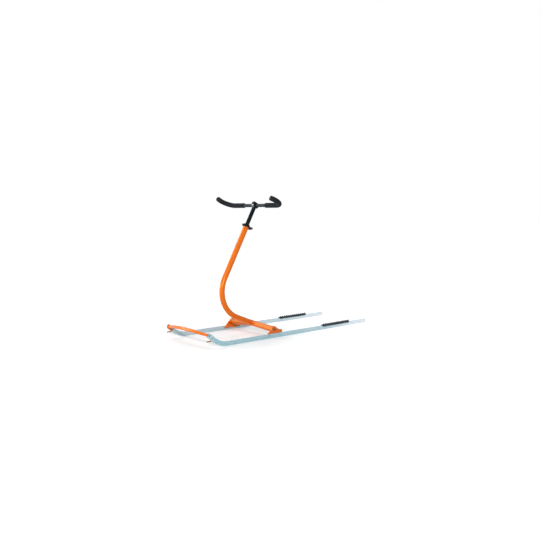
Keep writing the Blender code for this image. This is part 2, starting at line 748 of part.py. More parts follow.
def make_hook(name, side, root, finish):
    """A plate on the runner's tip that carries the bow and ends in a hook-like prong."""
    bolt = hook_bolt_place()
    bow_end = bow_end_place()
    prong_end = bow_end - Z_AXIS * HOOK_PRONG_DROP - Y_AXIS * HOOK_PRONG_REACH
    face = X_AXIS * side * (RUNNER_INNER_X - GAP)
    arm = link_outline(bolt, HOOK_BOSS_RADIUS, bow_end, HOOK_EYE_RADIUS, X_AXIS)
    plate = prism([p + face for p in arm], X_AXIS * -side * HOOK_THICKNESS)
    hook = add_object(name, plate, finish, root)
    soften(hook)
    inset = X_AXIS * -side * (HOOK_THICKNESS - HOOK_PRONG_THICKNESS) / 2
    prong = link_outline(
        bolt, HOOK_PRONG_ROOT_RADIUS, prong_end, HOOK_PRONG_TIP_RADIUS, X_AXIS
    )
    prong = prism([p + face + inset for p in prong], X_AXIS * -side * HOOK_PRONG_THICKNESS)
    combine(hook, "UNION", add_tool(name + "_prong", prong, root))
    middle = face - X_AXIS * side * HOOK_THICKNESS / 2
    length = HOOK_THICKNESS + 2 * OVERCUT
    holes = [(place + middle, M6[0] + GAP, length) for place in (bolt, bow_end)]
    drill(hook, name + "_holes", root, holes)


def make_hook_fasteners(root, steel, dark):
    """The bolt through each runner tip and hook plate, its nut, and the bow's end screw."""
    grip = RUNNER_THICKNESS + GAP + HOOK_THICKNESS + M6_NUT[1] + THREAD_SHOWING
    bolt = bolt_mesh("hook_bolt", M6, grip, steel)
    nut = nut_mesh("hook_nut", M6_NUT, M6[0], steel)
    nut_x = RUNNER_INNER_X - GAP - HOOK_THICKNESS
    screw_grip = RUNNER_THICKNESS + GAP + HOOK_THICKNESS + GAP + BOW_SCREW_DEPTH
    screw = bolt_mesh("bow_screw", M6, screw_grip, dark)
    for word, side in SIDES:
        eye = bow_end_place() + X_AXIS * side * RUNNER_OUTER_X
        add_copy("bow_screw_" + word, screw, root, eye, facing(side))
        outer = hook_bolt_place() + X_AXIS * side * RUNNER_OUTER_X
        inner = hook_bolt_place() + X_AXIS * side * nut_x
        add_copy("hook_bolt_" + word, bolt, root, outer, facing(side))
        add_copy("hook_nut_" + word, nut, root, inner, facing(-side))


def tread_outline():
    """The tread plate's side outline, with a row of teeth along its top."""
    base = RUNNER_HEIGHT + GAP + TREAD_SHOULDER
    valley = RUNNER_HEIGHT + GAP + TREAD_PLATE
    half = TREAD_LENGTH / 2
    pitch = TREAD_LENGTH / TREAD_TEETH
    drop = (valley - base) * TREAD_END_SLOPE
    outline = [
        yz(TREAD_STATION + half - drop, base),
        yz(TREAD_STATION + half, valley),
    ]
    for i in range(TREAD_TEETH):
        rear = TREAD_STATION + half - pitch * i
        outline += [
            yz(rear - pitch * TREAD_TOOTH_REAR, valley + TREAD_TOOTH),
            yz(rear - pitch * TREAD_TOOTH_FRONT, valley + TREAD_TOOTH),
            yz(rear - pitch * TREAD_VALLEY_REAR, valley),
            yz(rear - pitch * TREAD_VALLEY_FRONT, valley),
        ]
    outline.append(yz(TREAD_STATION - half + drop, base))
    return outline


def make_tread(name, side, root, finish):
    """A foot tread that sits astride the runner."""
    place = X_AXIS * side * RUNNER_X
    plate = [p - X_AXIS * TREAD_WIDTH / 2 for p in tread_outline()]
    tread = add_object(name, prism(plate, X_AXIS * TREAD_WIDTH), finish, root, place)
    slot = RUNNER_THICKNESS / 2 + GAP
    reach = slot + TREAD_SKIRT
    foot = RUNNER_HEIGHT - TREAD_LAP
    top = RUNNER_HEIGHT + TREAD_PLATE / 2
    half = TREAD_LENGTH / 2 - TREAD_PLATE * TREAD_END_SLOPE - OVERLAP
    slope = (top - foot) * TREAD_END_SLOPE
    skirt = [
        yz(TREAD_STATION - half + slope, foot),
        yz(TREAD_STATION + half - slope, foot),
        yz(TREAD_STATION + half, top),
        yz(TREAD_STATION - half, top),
    ]
    skirt = prism([p - X_AXIS * reach for p in skirt], X_AXIS * 2 * reach)
    combine(tread, "UNION", add_tool(name + "_skirt", skirt, root, place))
    groove = box(
        (-slot, TREAD_STATION - TREAD_LENGTH, foot - OVERCUT),
        (slot, TREAD_STATION + TREAD_LENGTH, RUNNER_HEIGHT + GAP),
    )
    combine(tread, "DIFFERENCE", add_tool(name + "_groove", groove, root, place))
    holes = [(p + place, M4[0] + GAP, 2 * (reach + OVERCUT)) for _, p in tread_bolt_places()]
    drill(tread, name + "_holes", root, holes)


def make_tread_fasteners(root, steel):
    """The bolts through each tread and runner, and their nuts."""
    face = RUNNER_THICKNESS / 2 + GAP + TREAD_SKIRT
    bolt = bolt_mesh("tread_bolt", M4, 2 * face + M4_NUT[1] + THREAD_SHOWING, steel)
    nut = nut_mesh("tread_nut", M4_NUT, M4[0], steel)
    for word, side in SIDES:
        for end, place in tread_bolt_places():
            name = f"{word}_{end}"
            outer = place + X_AXIS * side * (RUNNER_X + face)
            inner = place + X_AXIS * side * (RUNNER_X - face)
            add_copy("tread_bolt_" + name, bolt, root, outer, facing(side))
            add_copy("tread_nut_" + name, nut, root, inner, facing(-side))


def make_bush(frame, finish, steel):
    """The split bush that guides the stem in the post's mouth, and the screw that holds it."""
    skin = POST_BORE - GAP
    profile = [
        (skin, -BUSH_LENGTH),
        (skin, GAP),
        (POST_RADIUS, GAP),
        (POST_RADIUS, BUSH_FLANGE - EDGE),
        (POST_RADIUS - EDGE, BUSH_FLANGE),
        (BUSH_BORE, BUSH_FLANGE),
        (BUSH_BORE, -BUSH_LENGTH),
    ]
    bush = add_object("stem_bush", turned(profile, closed=True), finish, frame)
    half = BUSH_SLIT_WIDTH / 2
    slit = box(
        (-half, 0, -BUSH_LENGTH - OVERCUT),
        (half, POST_RADIUS + OVERCUT, BUSH_FLANGE + OVERCUT),
    )
    combine(bush, "DIFFERENCE", add_tool("bush_slit", slit, frame))
    cut_screw_hole(bush, frame)
    screw = bolt_mesh("bush_screw", M4, BUSH_SCREW_DEPTH, steel)
    add_copy("bush_screw", screw, frame, BUSH_SCREW_PLACE, BUSH_SCREW_TURN)


def make_collar(frame, finish):
    """The split collar, with two lugs behind the post."""
    disc = round_disc(COLLAR_RADIUS, COLLAR_LOW, -COLLAR_DROP, ROUND_SIDES)
    collar = add_object("clamp_collar", disc, finish, frame)
    low = COLLAR_LOW + OVERLAP
    corners = [
        Vector((-LUG_WIDTH, COLLAR_BORE / 2, low)),
        Vector((LUG_WIDTH, COLLAR_BORE / 2, low)),
        Vector((LUG_WIDTH, LUG_REACH, low)),
        Vector((-LUG_WIDTH, LUG_REACH, low)),
    ]
    outline = rounded_outline(corners, [0, 0, LUG_CORNER, LUG_CORNER])
    lugs = prism(outline, Z_AXIS * (COLLAR_HEIGHT - 2 * OVERLAP))
    combine(collar, "UNION", add_tool("collar_lugs", lugs, frame))
    bore = round_rod(COLLAR_BORE, COLLAR_LOW - OVERCUT, OVERCUT, TUBE_SIDES)
    combine(collar, "DIFFERENCE", add_tool("collar_bore", bore, frame))
    half = POST_SLIT_WIDTH / 2
    slit = box((-half, 0, COLLAR_LOW - OVERCUT), (half, LUG_REACH + OVERCUT, OVERCUT))
    combine(collar, "DIFFERENCE", add_tool("collar_slit", slit, frame))
    middle = Vector((0, SKEWER_REACH, COLLAR_MIDDLE))
    hole = (middle, SKEWER_RADIUS + GAP, 2 * (LUG_WIDTH + OVERCUT))
    drill(collar, "collar_hole", frame, [hole])


def make_skewer(frame, steel, dark):
    """The skewer with its cross barrel, and the saddle under the cam."""
    pivot = Vector((PIVOT_X, SKEWER_REACH, COLLAR_MIDDLE))
    half = LEVER_WIDTH / 2 - GAP
    barrel = round_rod(BARREL_RADIUS, -half, half)
    skewer = add_object("clamp_skewer", barrel, steel, frame, pivot)
    end = LUG_WIDTH + KNOB_LENGTH + THREAD_SHOWING - PIVOT_X
    rod = round_rod(SKEWER_RADIUS, 0, end, FASTENER_SIDES)
    combine(skewer, "UNION", add_tool("skewer_rod", rod, frame, pivot, facing(1)))
    block = box(
        (PIVOT_X + CAM_REACH * SADDLE_WRAP, SKEWER_REACH - SADDLE_REACH, COLLAR_MIDDLE - half),
        (-LUG_WIDTH - GAP, SKEWER_REACH + SADDLE_REACH, COLLAR_MIDDLE + half),
    )
    saddle = add_object("cam_saddle", block, dark, frame)
    cam = round_rod(CAM_REACH + GAP, -half - OVERCUT, half + OVERCUT, ROUND_SIDES)
    combine(saddle, "DIFFERENCE", add_tool("saddle_hollow", cam, frame, pivot))
    middle = Vector((-LUG_WIDTH - SADDLE_THICKNESS, SKEWER_REACH, COLLAR_MIDDLE))
    hole = (middle, SKEWER_RADIUS + GAP, 4 * SADDLE_THICKNESS)
    drill(saddle, "saddle_hole", frame, [hole])


def make_knob(frame, finish):
    """The fluted knob on the skewer's end."""
    count = KNOB_FLUTES * 2
    rings = []
    for radius, level in (
        (KNOB_RADIUS, GAP),
        (KNOB_RADIUS, KNOB_LENGTH - KNOB_CHAMFER),
        (KNOB_RADIUS - KNOB_CHAMFER, KNOB_LENGTH),
    ):
        crests = circle(radius, count, Z_AXIS * level)
        valleys = circle(radius - KNOB_FLUTE_DEPTH, count, Z_AXIS * level)
        rings.append([(crests, valleys)[i % 2][i] for i in range(count)])
    for level in (KNOB_LENGTH, GAP):
        rings.append(circle(SKEWER_RADIUS + GAP, count, Z_AXIS * level))
    place = Vector((LUG_WIDTH, SKEWER_REACH, COLLAR_MIDDLE))
    add_object("skewer_knob", loft(bmesh.new(), rings, closed=True), finish, frame, place, facing(1))


def make_lever(frame, finish):
    """The cam lever: a forked cam on the barrel and a blade that hugs the collar."""
    pivot = Vector((PIVOT_X, SKEWER_REACH, COLLAR_MIDDLE))
    half = LEVER_WIDTH / 2
    cam = round_disc(CAM_RADIUS, -half, half, TUBE_SIDES)
    bmesh.ops.translate(cam, verts=cam.verts, vec=X_AXIS * CAM_THROW)
    lever = add_object("release_lever", cam, finish, frame, pivot)
    corners = [Vector((x, y, 0)) * LEVER_LENGTH for x, y in LEVER_SHAPE]
    path = rounded_path(corners, [LEVER_LENGTH / 2, LEVER_LENGTH / 3])
    shares = [i / (len(path) - 1) for i in range(len(path))]
    widths = [LEVER_THICKNESS / 2 * (1 + LEVER_TAPER * (0.5 - share)) for share in shares]
    outline = strip_outline(path, widths, Z_AXIS)
    rings = []
    for i, share in enumerate(shares):
        low = Z_AXIS * (LEVER_CORNER - half + LEVER_RISE * share**2)
        high = Z_AXIS * (half - LEVER_CORNER + (LEVER_RISE + LEVER_FLARE) * share**2)
        upper, lower = outline[i], outline[-1 - i]
        rings.append([upper + low, lower + low, lower + high, upper + high])
    blade = loft(bmesh.new(), rings)
    combine(lever, "UNION", add_tool("lever_blade", blade, frame, pivot))
    slot = LEVER_FORK_SLOT / 2
    fork = round_rod(CAM_REACH + OVERLAP * 2, -slot, slot, TUBE_SIDES)
    combine(lever, "DIFFERENCE", add_tool("lever_fork", fork, frame, pivot))
    eye = round_rod(BARREL_RADIUS + GAP, -half - OVERCUT, half + OVERCUT)
    combine(lever, "DIFFERENCE", add_tool("lever_eye", eye, frame, pivot))


def make_stem(frame, finish):
    """The sliding tube."""
    top = STEM_RISE - HEAD_NECK - GAP
    profile = [
        (STEM_RADIUS, -STEM_INSERT),
        (STEM_RADIUS, top),
        (STEM_BORE, top),
        (STEM_BORE, -STEM_INSERT),
    ]
    add_object("stem_tube", turned(profile, closed=True), finish, frame)


def head_block(name, corners, radii, head_frame, finish):
    """A block of the stem head, from its side outline."""
    outline = rounded_outline([yz(*corner) for corner in corners], radii)
    block = prism([p - X_AXIS * HEAD_WIDTH / 2 for p in outline], X_AXIS * HEAD_WIDTH)
    made = add_object(name, block, finish, head_frame)
    soften(made)
    return made


def make_head(head_frame, finish, steel):
    """The saddle on the stem, the cap over the bar, and the bolts between them."""
    half = HEAD_LENGTH / 2
    waist = HEAD_WAIST / 2
    split = HEAD_SPLIT / 2
    corners = [
        (-half, -split),
        (-half, -split - HEAD_LIP),
        (-waist, -HEAD_DEPTH),
        (waist, -HEAD_DEPTH),
        (half, -split - HEAD_LIP),
        (half, -split),
    ]
    radii = [0, HEAD_CORNER, HEAD_CORNER, HEAD_CORNER, HEAD_CORNER, 0]
    head = head_block("stem_head", corners, radii, head_frame, finish)
    profile = [
        (STEM_BORE - GAP, -HEAD_NECK - HEAD_SPIGOT),
        (STEM_BORE - GAP, -HEAD_NECK),
        (STEM_RADIUS, -HEAD_NECK),
        (STEM_RADIUS, -(HEAD_DEPTH + HEAD_BORE) / 2),
    ]
    combine(head, "UNION", add_tool("head_neck", turned(profile), head_frame))
    corners = [(-half, split), (half, split), (half, HEAD_CAP_HEIGHT), (-half, HEAD_CAP_HEIGHT)]
    radii = [0, 0, HEAD_CORNER, HEAD_CORNER]
    cap = head_block("head_cap", corners, radii, head_frame, finish)
    reach = HEAD_WIDTH / 2 + OVERCUT
    bore = round_rod(HEAD_BORE, -reach, reach, TUBE_SIDES)
    bore = add_tool("head_bore", bore, head_frame, rotation=facing(1))
    ends = (("front", -CAP_BOLT_SPREAD / 2), ("rear", CAP_BOLT_SPREAD / 2))
    holes = bmesh.new()
    for _, station in ends:
        levels = (-HEAD_DEPTH - OVERCUT, HEAD_CAP_HEIGHT + OVERCUT)
        loft(holes, [circle(M6[0] + GAP, HOLE_SIDES, yz(station, level)) for level in levels])
    holes = add_tool("head_holes", holes, head_frame)
    for piece in (head, cap):
        combine(piece, "DIFFERENCE", bore)
        combine(piece, "DIFFERENCE", holes)
    bolt = bolt_mesh("cap_bolt", M6, HEAD_CAP_HEIGHT + CAP_BOLT_DEPTH, steel)
    for word, station in ends:
        add_copy("cap_bolt_" + word, bolt, head_frame, yz(station, HEAD_CAP_HEIGHT))


def horn(side):
    """The corner of the bar on one side, and the end of its horn."""
    corner = X_AXIS * side * BAR_CORNER
    forward = Vector((0, -math.cos(BAR_HORN_RISE), math.sin(BAR_HORN_RISE)))
    way = X_AXIS * side * math.cos(BAR_BEND) + forward * math.sin(BAR_BEND)
    return corner, corner + way * BAR_HORN, way


def make_bar(bar_frame, finish, foam, plastic):
    """The bullhorn bar, a grip over each half and a plug in each end."""
    across = Vector((0, math.sin(BAR_HORN_RISE), math.cos(BAR_HORN_RISE)))
    left, left_end, _ = horn(1)
    right, right_end, _ = horn(-1)
    path = rounded_path([right_end, right, left, left_end], [BAR_BEND_RADIUS] * 2)
    bar = swept_tube(path, across, [BAR_RADIUS] * len(path), BAR_BORE, BAR_SIDES)
    add_object("handlebar", bar, finish, bar_frame)
    profile = [
        (BAR_BORE - GAP, -PLUG_STEM),
        (BAR_BORE - GAP, GAP),
        (GRIP_RADIUS - EDGE, GAP),
    ]
    profile += [(GRIP_RADIUS * share, PLUG_CAP * rise) for share, rise in PLUG_SHAPE]
    plug = finished_mesh("bar_plug", turned(profile, BAR_SIDES), plastic)
    for word, side in SIDES:
        corner, end, way = horn(side)
        path = rounded_path([X_AXIS * side * GRIP_START, corner, end], [BAR_BEND_RADIUS])
        sleeve = swept_tube(path, across, [GRIP_RADIUS] * len(path), BAR_RADIUS + GAP, BAR_SIDES)
        grip = add_object("grip_" + word, sleeve, foam, bar_frame)
        soften(grip, GRIP_ROUNDING)
        turn = way.to_track_quat("Z", "Y").to_euler()
        add_copy("bar_plug_" + word, plug, bar_frame, end, turn)


def clear_scene():
    """Empties the scene."""
    for old in list(bpy.data.objects):
        bpy.data.objects.remove(old, do_unlink=True)


def main():
    clear_scene()
    orange = material("orange_paint", (0.87, 0.16, 0.012), 0.30)
    bracket_orange = material("bracket_paint", (0.62, 0.11, 0.015), 0.40)
    runner_steel = material("runner_steel", (0.62, 0.68, 0.72), 0.32, 1.0)
    fastener = material("fastener_steel", (0.45, 0.46, 0.47), 0.35, 1.0)
    dark_steel = material("dark_steel", (0.05, 0.05, 0.055), 0.35, 1.0)
    black_paint = material("black_paint", (0.012, 0.014, 0.017), 0.35)
    black_plastic = material("black_plastic", (0.015, 0.016, 0.018), 0.5)
    foam = material("grip_foam", (0.016, 0.019, 0.023), 0.75)
    rubber = material("tread_rubber", (0.045, 0.052, 0.06), 0.7)

    root = add_empty("kicksled", location=(0, ROOT_Y, 0))
    post_frame = add_empty("post_mouth", root, POST_TOP, (-POST_LEAN, 0, 0))
    stem_frame = add_empty("stem_slide", post_frame)
    head_frame = add_empty("bar_axis", stem_frame, Z_AXIS * STEM_RISE)
    bar_frame = add_empty("bar_roll", head_frame, rotation=(POST_LEAN, 0, 0))

    for word, side in SIDES:
        make_runner("runner_" + word, side, root, runner_steel)
        make_bracket("bracket_" + word, side, root, bracket_orange)
        make_hook("bow_hook_" + word, side, root, bracket_orange)
        make_tread("foot_tread_" + word, side, root, rubber)
    make_cross_tube(root, orange)
    make_cross_ends(root, black_plastic, dark_steel)
    make_bracket_fasteners(root, fastener)
    make_bow(root, orange)
    make_hook_fasteners(root, fastener, dark_steel)
    make_tread_fasteners(root, fastener)
    make_post(root, post_frame, orange)
    make_bush(post_frame, black_plastic, dark_steel)
    make_collar(post_frame, black_paint)
    make_skewer(post_frame, dark_steel, black_plastic)
    make_knob(post_frame, dark_steel)
    make_lever(post_frame, black_paint)
    make_stem(stem_frame, black_paint)
    make_head(head_frame, black_paint, dark_steel)
    make_bar(bar_frame, black_paint, foam, black_plastic)


main()
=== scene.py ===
"""The kicksled dressed for its picture: finishes, welds, fasteners, grips, treads, floor and lamps.

Metres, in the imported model's frame: +Z up, the sled faces -Y and stands on z = 0. Left is the
rider's left, at +X.
"""

import json
import math
from collections import namedtuple

import bmesh
import bpy
from mathutils import Matrix, Vector, noise

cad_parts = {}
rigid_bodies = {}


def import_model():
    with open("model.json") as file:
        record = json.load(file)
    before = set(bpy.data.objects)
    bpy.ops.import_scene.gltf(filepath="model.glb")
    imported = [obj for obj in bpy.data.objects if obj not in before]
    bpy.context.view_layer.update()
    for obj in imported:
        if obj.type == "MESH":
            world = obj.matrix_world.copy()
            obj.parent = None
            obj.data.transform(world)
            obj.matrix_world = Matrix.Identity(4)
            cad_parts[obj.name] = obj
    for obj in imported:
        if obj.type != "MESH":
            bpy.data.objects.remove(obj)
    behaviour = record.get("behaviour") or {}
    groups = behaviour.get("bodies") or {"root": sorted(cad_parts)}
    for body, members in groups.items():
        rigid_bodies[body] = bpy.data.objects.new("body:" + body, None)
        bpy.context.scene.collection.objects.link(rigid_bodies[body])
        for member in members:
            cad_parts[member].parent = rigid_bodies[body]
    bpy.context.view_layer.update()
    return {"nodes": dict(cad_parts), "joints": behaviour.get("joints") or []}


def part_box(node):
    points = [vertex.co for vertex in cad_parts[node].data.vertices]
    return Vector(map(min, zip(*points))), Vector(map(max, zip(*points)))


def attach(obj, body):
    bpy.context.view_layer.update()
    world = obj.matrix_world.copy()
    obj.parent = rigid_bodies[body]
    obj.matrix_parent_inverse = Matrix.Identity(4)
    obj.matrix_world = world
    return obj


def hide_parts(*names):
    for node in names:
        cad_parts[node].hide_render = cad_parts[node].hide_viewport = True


for leftover in list(bpy.data.objects):
    bpy.data.objects.remove(leftover, do_unlink=True)
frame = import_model()
NODES = frame["nodes"]
JOINTS = {joint["name"]: joint for joint in frame["joints"]}

X_AXIS = Vector((1, 0, 0))
Z_AXIS = Vector((0, 0, 1))
SIDES = (("left", 1), ("right", -1))


def node_middle(name):
    """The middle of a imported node's box."""
    low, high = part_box(name)
    return (low + high) / 2


# Camera, as the photograph was taken
CAMERA_PLACE = (3.6325, -3.25815, 0.8916)
CAMERA_TURN = (math.radians(84.8794), 0, math.radians(48.214))
CAMERA_LENS = 43.765
CAMERA_SENSOR = 36
CAMERA_CLIP = (0.05, 100)

# Clearances, shading, and the share of an eased edge that its middle step takes
GAP = 0.0003
CLOSE_FIT = 0.0002
THREAD_FIT = 0.0001
SHARP_ANGLE = math.radians(36)
FLAT_ANGLE = math.radians(0.2)
MERGE_DISTANCE = 0.00001
EASE_STEP = 0.3

# Post and stem head
POST_UP = Vector(JOINTS["stem_slide"]["axis"]).normalized()
POST_BACK = POST_UP.cross(X_AXIS)
BAR_AXIS = Vector(JOINTS["bar_roll"]["pos_m"])
STEM_SHOWN = 0.1573
POST_TOP = BAR_AXIS - POST_UP * STEM_SHOWN
POST_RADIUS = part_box("post_tube")[1].x
BUSH_SCREW_DROP = 0.028
BUSH_SCREW_ANGLE = math.radians(-33)
CAP_TOP = 0.0195
CAP_BOLT_SPREAD = 0.037
# Painted highlight on the stem head's saddle: its depth below the bar, its half width, its fade and
# the facing of its faces
SADDLE_DEPTH = 0.0185
SADDLE_HIGHLIGHT_SPOT = 0.0080
SADDLE_FADE = 0.0004
SADDLE_FACING = (0.80, 0.86)

# Cross tube and brackets
CROSS_LOW, CROSS_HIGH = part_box("cross_tube")
CROSS_RADIUS = (CROSS_HIGH.y - CROSS_LOW.y) / 2
CROSS_BEND_RADIUS = 0.200
POST_FOOT = Vector((0, node_middle("cross_tube").y, CROSS_HIGH.z - CROSS_RADIUS))
LEG_SLOPE = math.radians(22)
LEG_WAY = Vector((0, -math.cos(LEG_SLOPE), math.sin(LEG_SLOPE)))
HUB_RADIUS = 0.0238
HUB_HEIGHT = CROSS_LOW.z + CROSS_RADIUS
HUB_END_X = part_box("bracket_left")[0].x
WEB_TOP = 0.0408
CHEEK_INNER_X = 0.235

# Bar and grips
BAR_RADIUS = 0.0127
BAR_CORNER = 0.336
BAR_HORN = 0.1275
BAR_BEND_RADIUS = 0.0768
BAR_BEND = math.radians(110)
BAR_BEND_STEPS = 26
HORN_RISE = math.radians(23.5)
HORN_FORWARD = Vector((0, -math.cos(HORN_RISE), math.sin(HORN_RISE)))
HORN_ACROSS = Vector((0, math.sin(HORN_RISE), math.cos(HORN_RISE)))
GRIP_START = 0.120
GRIP_RADIUS = 0.018
GRIP_WALL = GRIP_RADIUS - BAR_RADIUS - CLOSE_FIT
GRIP_TUCK = 0.006
GRIP_SPACING = 0.004
GRIP_POINTS = 40
GRIP_SWELL = 0.00018
GRIP_SWELL_SCALE = 45

# Distances from a grip's end, and how far its skin lies inside its radius there
GRIP_SKIN = 0.0002
GRIP_MOUTH = (
    (GRIP_TUCK, GRIP_WALL),
    (0.0, GRIP_WALL),
    (0.0, 0.0026),
    (0.0006, 0.0010),
    (0.0018, GRIP_SKIN),
)
GRIP_END = ((0.0014, 0.0003), (0.0002, 0.0016), (0.0002, GRIP_WALL), (GRIP_TUCK, GRIP_WALL))

# Radius and height of the bar's end cap, from its plug inside the bar to the dimple in its dome
END_CAP = (
    (0.0102, -0.016),
    (0.0104, -0.001),
    (0.0104, GAP),
    (0.0162, GAP),
    (0.0172, 0.0008),
    (0.0174, 0.0018),
    (0.0168, 0.0031),
    (0.0154, 0.0043),
    (0.0134, 0.0051),
    (0.0118, 0.0055),
    (0.0112, 0.0050),
    (0.0104, 0.0050),
    (0.0098, 0.0056),
    (0.0060, 0.0057),
    (0.0022, 0.0057),
    (0.0016, 0.0049),
    (0.0004, 0.0047),
)

# Lip over the post's mouth: offsets from its outer radius and then from its bore, with heights
SEAL_WALL = 0.0019
SEAL_BORE = POST_RADIUS + CLOSE_FIT
SEAL_RADIUS = SEAL_BORE + SEAL_WALL
SEAL_FOOT = -0.0027
SEAL_OUTSIDE = (
    (-0.0002, SEAL_FOOT),
    (0.0, -0.0024),
    (0.0, -0.0014),
    (-0.0003, -0.0003),
    (-0.0010, 0.0004),
)
SEAL_LIP = ((-0.0002, 0.0007), (-0.0016, 0.0006), (-0.0017, 0.0003), (0.0, 0.0002))
SEAL_POINTS = 48

# Screws and nuts: radii of shank and head, widths across flats, lengths and chamfers
Screw = namedtuple("Screw", "shank head height key")
Nut = namedtuple("Nut", "across height bore")
M8 = Screw(shank=0.0040, head=0.0072, height=0.0045, key=0.0050)
M6 = Screw(shank=0.0030, head=0.0056, height=0.0036, key=0.0040)
M4 = Screw(shank=0.0020, head=0.0037, height=0.0022, key=0.0025)
M6_NUT = Nut(across=0.0100, height=0.0050, bore=M6.shank + THREAD_FIT)
M4_NUT = Nut(across=0.0070, height=0.0032, bore=M4.shank + THREAD_FIT)
FASTENER_POINTS = 24
CROSS_SCREW_LENGTH = 0.024
PLATE_BOLT_LENGTH = 0.0188
BOW_SCREW_LENGTH = 0.0246
TREAD_BOLT_LENGTH = 0.0263
CAP_BOLT_LENGTH = 0.030
BUSH_SCREW_LENGTH = 0.0044
SOCKET_CHAMFER = 0.0003
NUT_CHAMFER = 0.0004
NUT_SINK = 0.0005

# A screw's thread, in shares of the shank's radius and, within a turn, of the pitch
THREAD_PITCH = 1 / 3
THREAD_TURNS = 7
THREAD_START = 0.6
THREAD_END = 0.72
THREAD_ROOT = 0.86
THREAD_PROFILE = ((1.0, 0.0), (1.0, 0.25), (THREAD_ROOT, 0.5), (THREAD_ROOT, 0.7))

# Shares of a screw head's radius and height, from its seat to the rim of its socket
HEAD_DOME = (
    (1.0, 0.0),
    (1.0, 0.16),
    (0.97, 0.34),
    (0.90, 0.58),
    (0.80, 0.78),
    (0.70, 0.92),
    (0.62, 1.0),
)
SOCKET_MOUTH = 1.06
SOCKET_DEPTH = 0.6
SOCKET_CONE = 0.68
SOCKET_TIP = 0.15

# Shares of a nut's half width and height
NUT_FACE = 0.96
NUT_CORNER = 1.12
NUT_BODY = 0.72
NUT_COLLAR = (0.86, 0.84, 0.76, 0.68)

# Runners, which are flat bars on edge
RUNNER_LOW, RUNNER_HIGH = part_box("runner_left")
RUNNER_X = (RUNNER_LOW.x + RUNNER_HIGH.x) / 2
RUNNER_THICKNESS = RUNNER_HIGH.x - RUNNER_LOW.x
RUNNER_TAIL = RUNNER_HIGH.y
RUNNER_HEIGHT = 0.033
RUNNER_EDGE = 0.0007
RUNNER_EDGE_STEPS = 3
RUNNER_TAIL_CORNER = 0.007
RUNNER_BEND_RADIUS = 0.200
RUNNER_BEND = math.radians(40)
RUNNER_TANGENT = RUNNER_BEND_RADIUS * math.tan(RUNNER_BEND / 2)
RUNNER_TIP_Y = -0.7385
RUNNER_TIP_STRAIGHT = 0.015
RUNNER_TIP_REACH = 0.032
RUNNER_TIP_CORNER = 0.0135
RUNNER_KNEE_Y = RUNNER_TIP_Y + (RUNNER_TANGENT + RUNNER_TIP_STRAIGHT) * math.cos(RUNNER_BEND)
RUNNER_STRAIGHT = RUNNER_TAIL - RUNNER_KNEE_Y - RUNNER_TANGENT
CORNER_STEPS = 9
STRAIGHT_STEPS = 12
BEND_STEPS = 20

# Distance from a runner's end and inset of its section, as shares of its eased edge
END_EASE = ((0.0, 0.8), (0.3, 0.2))

# Hook plates and jaws, their places in the side view as (y, z)
HOOK_LOW, HOOK_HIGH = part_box("bow_hook_left")
HOOK_INNER_X = HOOK_LOW.x
HOOK_OUTER_X = HOOK_HIGH.x
HOOK_BOLT = node_middle("hook_bolt_left").yz
HOOK_BOSS = 0.014
HOOK_STEPS = 20
BOW_END = node_middle("bow_screw_left").yz
BOW_EYE = 0.0145
JAW_CORNER = Vector((-0.7325, 0.048))
JAW_BEND = 0.010
JAW_END = -0.767
JAW_HALF = 0.0042
JAW_INSET = 0.0008
JAW_STEPS = 8
PLATE_EASE = 0.0005

# Foot treads, each a deck with teeth and low ribs on it and a skirt on either side of the runner
TREAD_LOW, TREAD_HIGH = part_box("foot_tread_left")
TREAD_FOOT = TREAD_LOW.z
TREAD_TOP = TREAD_HIGH.z
TREAD_REAR = TREAD_HIGH.y
TREAD_LENGTH = 0.302
TREAD_TEETH = 13
TREAD_DECK = 0.0362
TREAD_HALF = 0.0135
TREAD_EASE = 0.0008
SKIRT_REACH = 0.0108
SKIRT_SLOPE = 0.7
SKIRT_SINK = 0.0010
SKIRT_EASE = 0.0005
TOOTH_CUT = 0.0012
RIB_HALF = 0.0120
RIB_EASE = 0.0004

# Where a tooth starts and ends, as shares of the pitch, and its half width: at its foot and crown
TOOTH_FOOT = (0.02, 0.54, 0.0056)
TOOTH_CROWN = (0.07, 0.30, 0.0034)

# Shares of a tooth's height, and how far it is drawn in there
TOOTH_LEVELS = ((-0.1, 0.0), (0.0, 0.0), (0.93, 0.0), (0.98, 0.0004), (1.0, 0.0012))

# A rib in the side view: shares of the pitch, and heights over the deck
RIB_OUTLINE = ((0.10, -0.0010), (0.16, 0.0012), (0.40, 0.0012), (0.50, -0.0010))

# Weld beads, which swell along each ripple and grow from their open ends
Weld = namedtuple("Weld", "radius ripple points")
POST_WELD = Weld(radius=0.0030, ripple=7, points=168)
HUB_WELD = Weld(radius=0.0021, ripple=6, points=29)
BOW_WELD = Weld(radius=0.0019, ripple=6, points=72)
BEAD_POINTS = 10
BEAD_LOW = 0.88
BEAD_SWELL = 0.20
BEAD_ROUNDING = 0.7
BEAD_START = 0.35
BEAD_GROWTH = 0.25
WELD_LEAN = 0.8
WELD_STAND = 0.0006
WELD_LIFT = 0.0004
HUB_WELD_MARGIN = 0.0015
BOW_WELD_REACH = 0.0086

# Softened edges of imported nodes
EDGE_SEGMENTS = 2
HEAD_EDGE = 0.0006
BRACKET_EDGE = 0.0005
CLAMP_EDGE = 0.0004
KNOB_EDGE = 0.0003
SADDLE_EDGE = 0.0002

# Painted reflection along y and painted light along x: where the runners turn pale; and up to which
# height their worn soles are bright
PAINTED_REFLECTION_START = -0.05
PAINTED_REFLECTION_END = 0.72
PAINTED_REFLECTION_RAGGED = 0.06
PAINTED_LIGHT_SPREAD = 0.1
PAINTED_LIGHT_SHARE = 0.4
STREAK_SHARE = 0.25
SOLE_BRIGHT = 0.001
SOLE_BLUED = 0.0035
SOLE_RAGGED = 0.0015
SOLE_GLOSS = 0.14

# Scuffs and painted light on the teeth: how ragged the pale tops are, and where they start and end in
# such steps from the top
SCUFF = 0.0016
SCUFF_START = 2.2
SCUFF_END = 0.4

